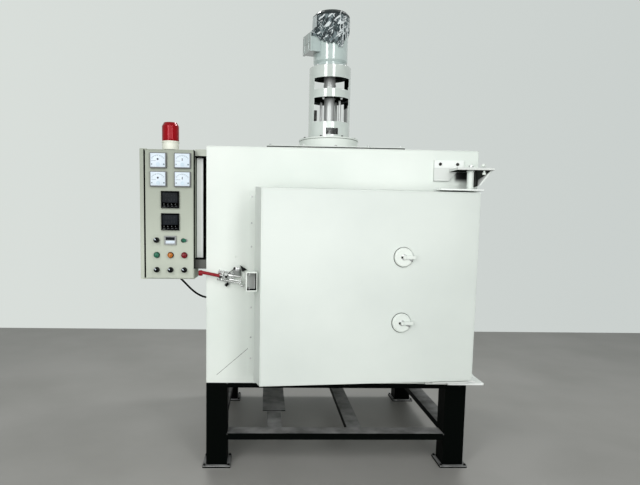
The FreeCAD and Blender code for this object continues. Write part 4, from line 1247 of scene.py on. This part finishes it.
film = start(bpy.ops.mesh.primitive_grid_add, x_subdivisions=AROUND, y_subdivisions=ROWS, size=1)
for vertex in film.data.vertices:
    degrees = vertex.co.x * WRAP
    low = torn_height(degrees) + 5 * sin(degrees * 0.53) + 3 * sin(degrees * 1.7 + 1)
    z = low + (COWL_TOP - low) * (vertex.co.y + 0.5)
    folds = (1.7 * sin(degrees * 0.21 + z * 0.062)
             + 1.2 * sin(degrees * 0.47 - z * 0.11 + 2)
             + 0.9 * sin(degrees * 0.93 + z * 0.19 + 4))
    radius = film_radius(degrees, z) + 0.5 * (folds + 3.8) * min(1, (COWL_TOP + 2 - z) / 30)
    turn = radians(degrees)
    vertex.co = spot(FAN_X + radius * sin(turn), FAN_Y - radius * cos(turn), z)
piece("motor_film", film, "clear_film")

# %% [markdown]
# ## Floor, backdrop and light
#
# The furnace stands on a plain floor before a pale backdrop. The floor ends where the wall of
# a studio would stand, and beyond it the world shows its own even, pale colour, which fades a
# little to the right. The same world lights the object softly. Two tall narrow lamps stand for
# the doorways behind the camera: they light the front, draw the bright upright streaks on the
# drive and the beacon, and throw the shadows of the legs under the box. A wide weak lamp high
# above the camera fills the front, and two skylights shine from above and behind.

# %% Floor
FLOOR_BACK, FLOOR_W, FLOOR_D = spot(0, 3950, 0).y, 24, 12
floor = start(bpy.ops.mesh.primitive_plane_add, size=1)
floor.name = "floor"
floor.scale = (FLOOR_W, FLOOR_D, 1)
floor.location = (0, FLOOR_BACK - FLOOR_D / 2, 0)
bake(floor)
material("studio_floor", (0.36, 0.355, 0.335), 0.5)
drift((0.33, 0.325, 0.305), (0.39, 0.385, 0.365), 1.1, 6)
floor.data.materials.append(PAINTS["studio_floor"])

# %% The world: one colour that is seen, another that lights
world = bpy.data.worlds.new("studio")
world.use_nodes = True
tree = world.node_tree
lighting = tree.nodes["Background"]
feed(lighting.inputs["Color"], (0.93, 0.96, 0.95))
feed(lighting.inputs["Strength"], 0.235)
sideways = node("SeparateXYZ", node("TexCoord", out="Generated"))
fade = ramp(node("MapRange", sideways, -0.4, 0.55),
            (0, (0.69, 0.73, 0.7)), (1, (0.595, 0.635, 0.617)))
rays = tree.nodes.new("ShaderNodeLightPath").outputs
straight = calc("ADD", rays["Is Camera Ray"], rays["Is Glossy Ray"])
seen = calc("ADD", straight, rays["Is Transmission Ray"], use_clamp=True)
sky = node("MixShader", seen, lighting.outputs[0], node("Background", fade))
feed(tree.nodes["World Output"].inputs["Surface"], sky)
bpy.context.scene.world = world
print("floor and world ready")

# %% Lamps
for name, place, target, size, power in (
        ("left_doorway", (-2050, -3000, 2300), (-100, 0, 1500), (1, 3.4), 60),
        ("right_doorway", (960, -3000, 2300), (-100, 0, 1500), (0.8, 3.4), 42),
        ("front_fill", (-500, -4900, 2300), (-200, 0, 1200), (3.6, 1.6), 50),
        ("left_skylight", (-1200, 2600, 5000), (0, 700, 700), (0.9, 0.9), 45),
        ("right_skylight", (1800, 1800, 5000), (0, 700, 700), (0.9, 0.9), 50)):
    light = bpy.data.lights.new(name, "AREA")
    light.shape = "RECTANGLE"
    light.size, light.size_y = size
    light.energy = power
    lamp = bpy.data.objects.new(name, light)
    bpy.context.collection.objects.link(lamp)
    lamp.location = spot(*place)
    lamp.rotation_euler = (spot(*target) - spot(*place)).to_track_quat("-Z", "Y").to_euler()
bpy.context.scene.view_settings.view_transform = "Standard"
print("lamps ready")

# %% [markdown]
# ## Finish
#
# The bolt and screw models have done their work and go.

# %% Finish
for model in MODELS:
    bpy.data.objects.remove(model, do_unlink=True)
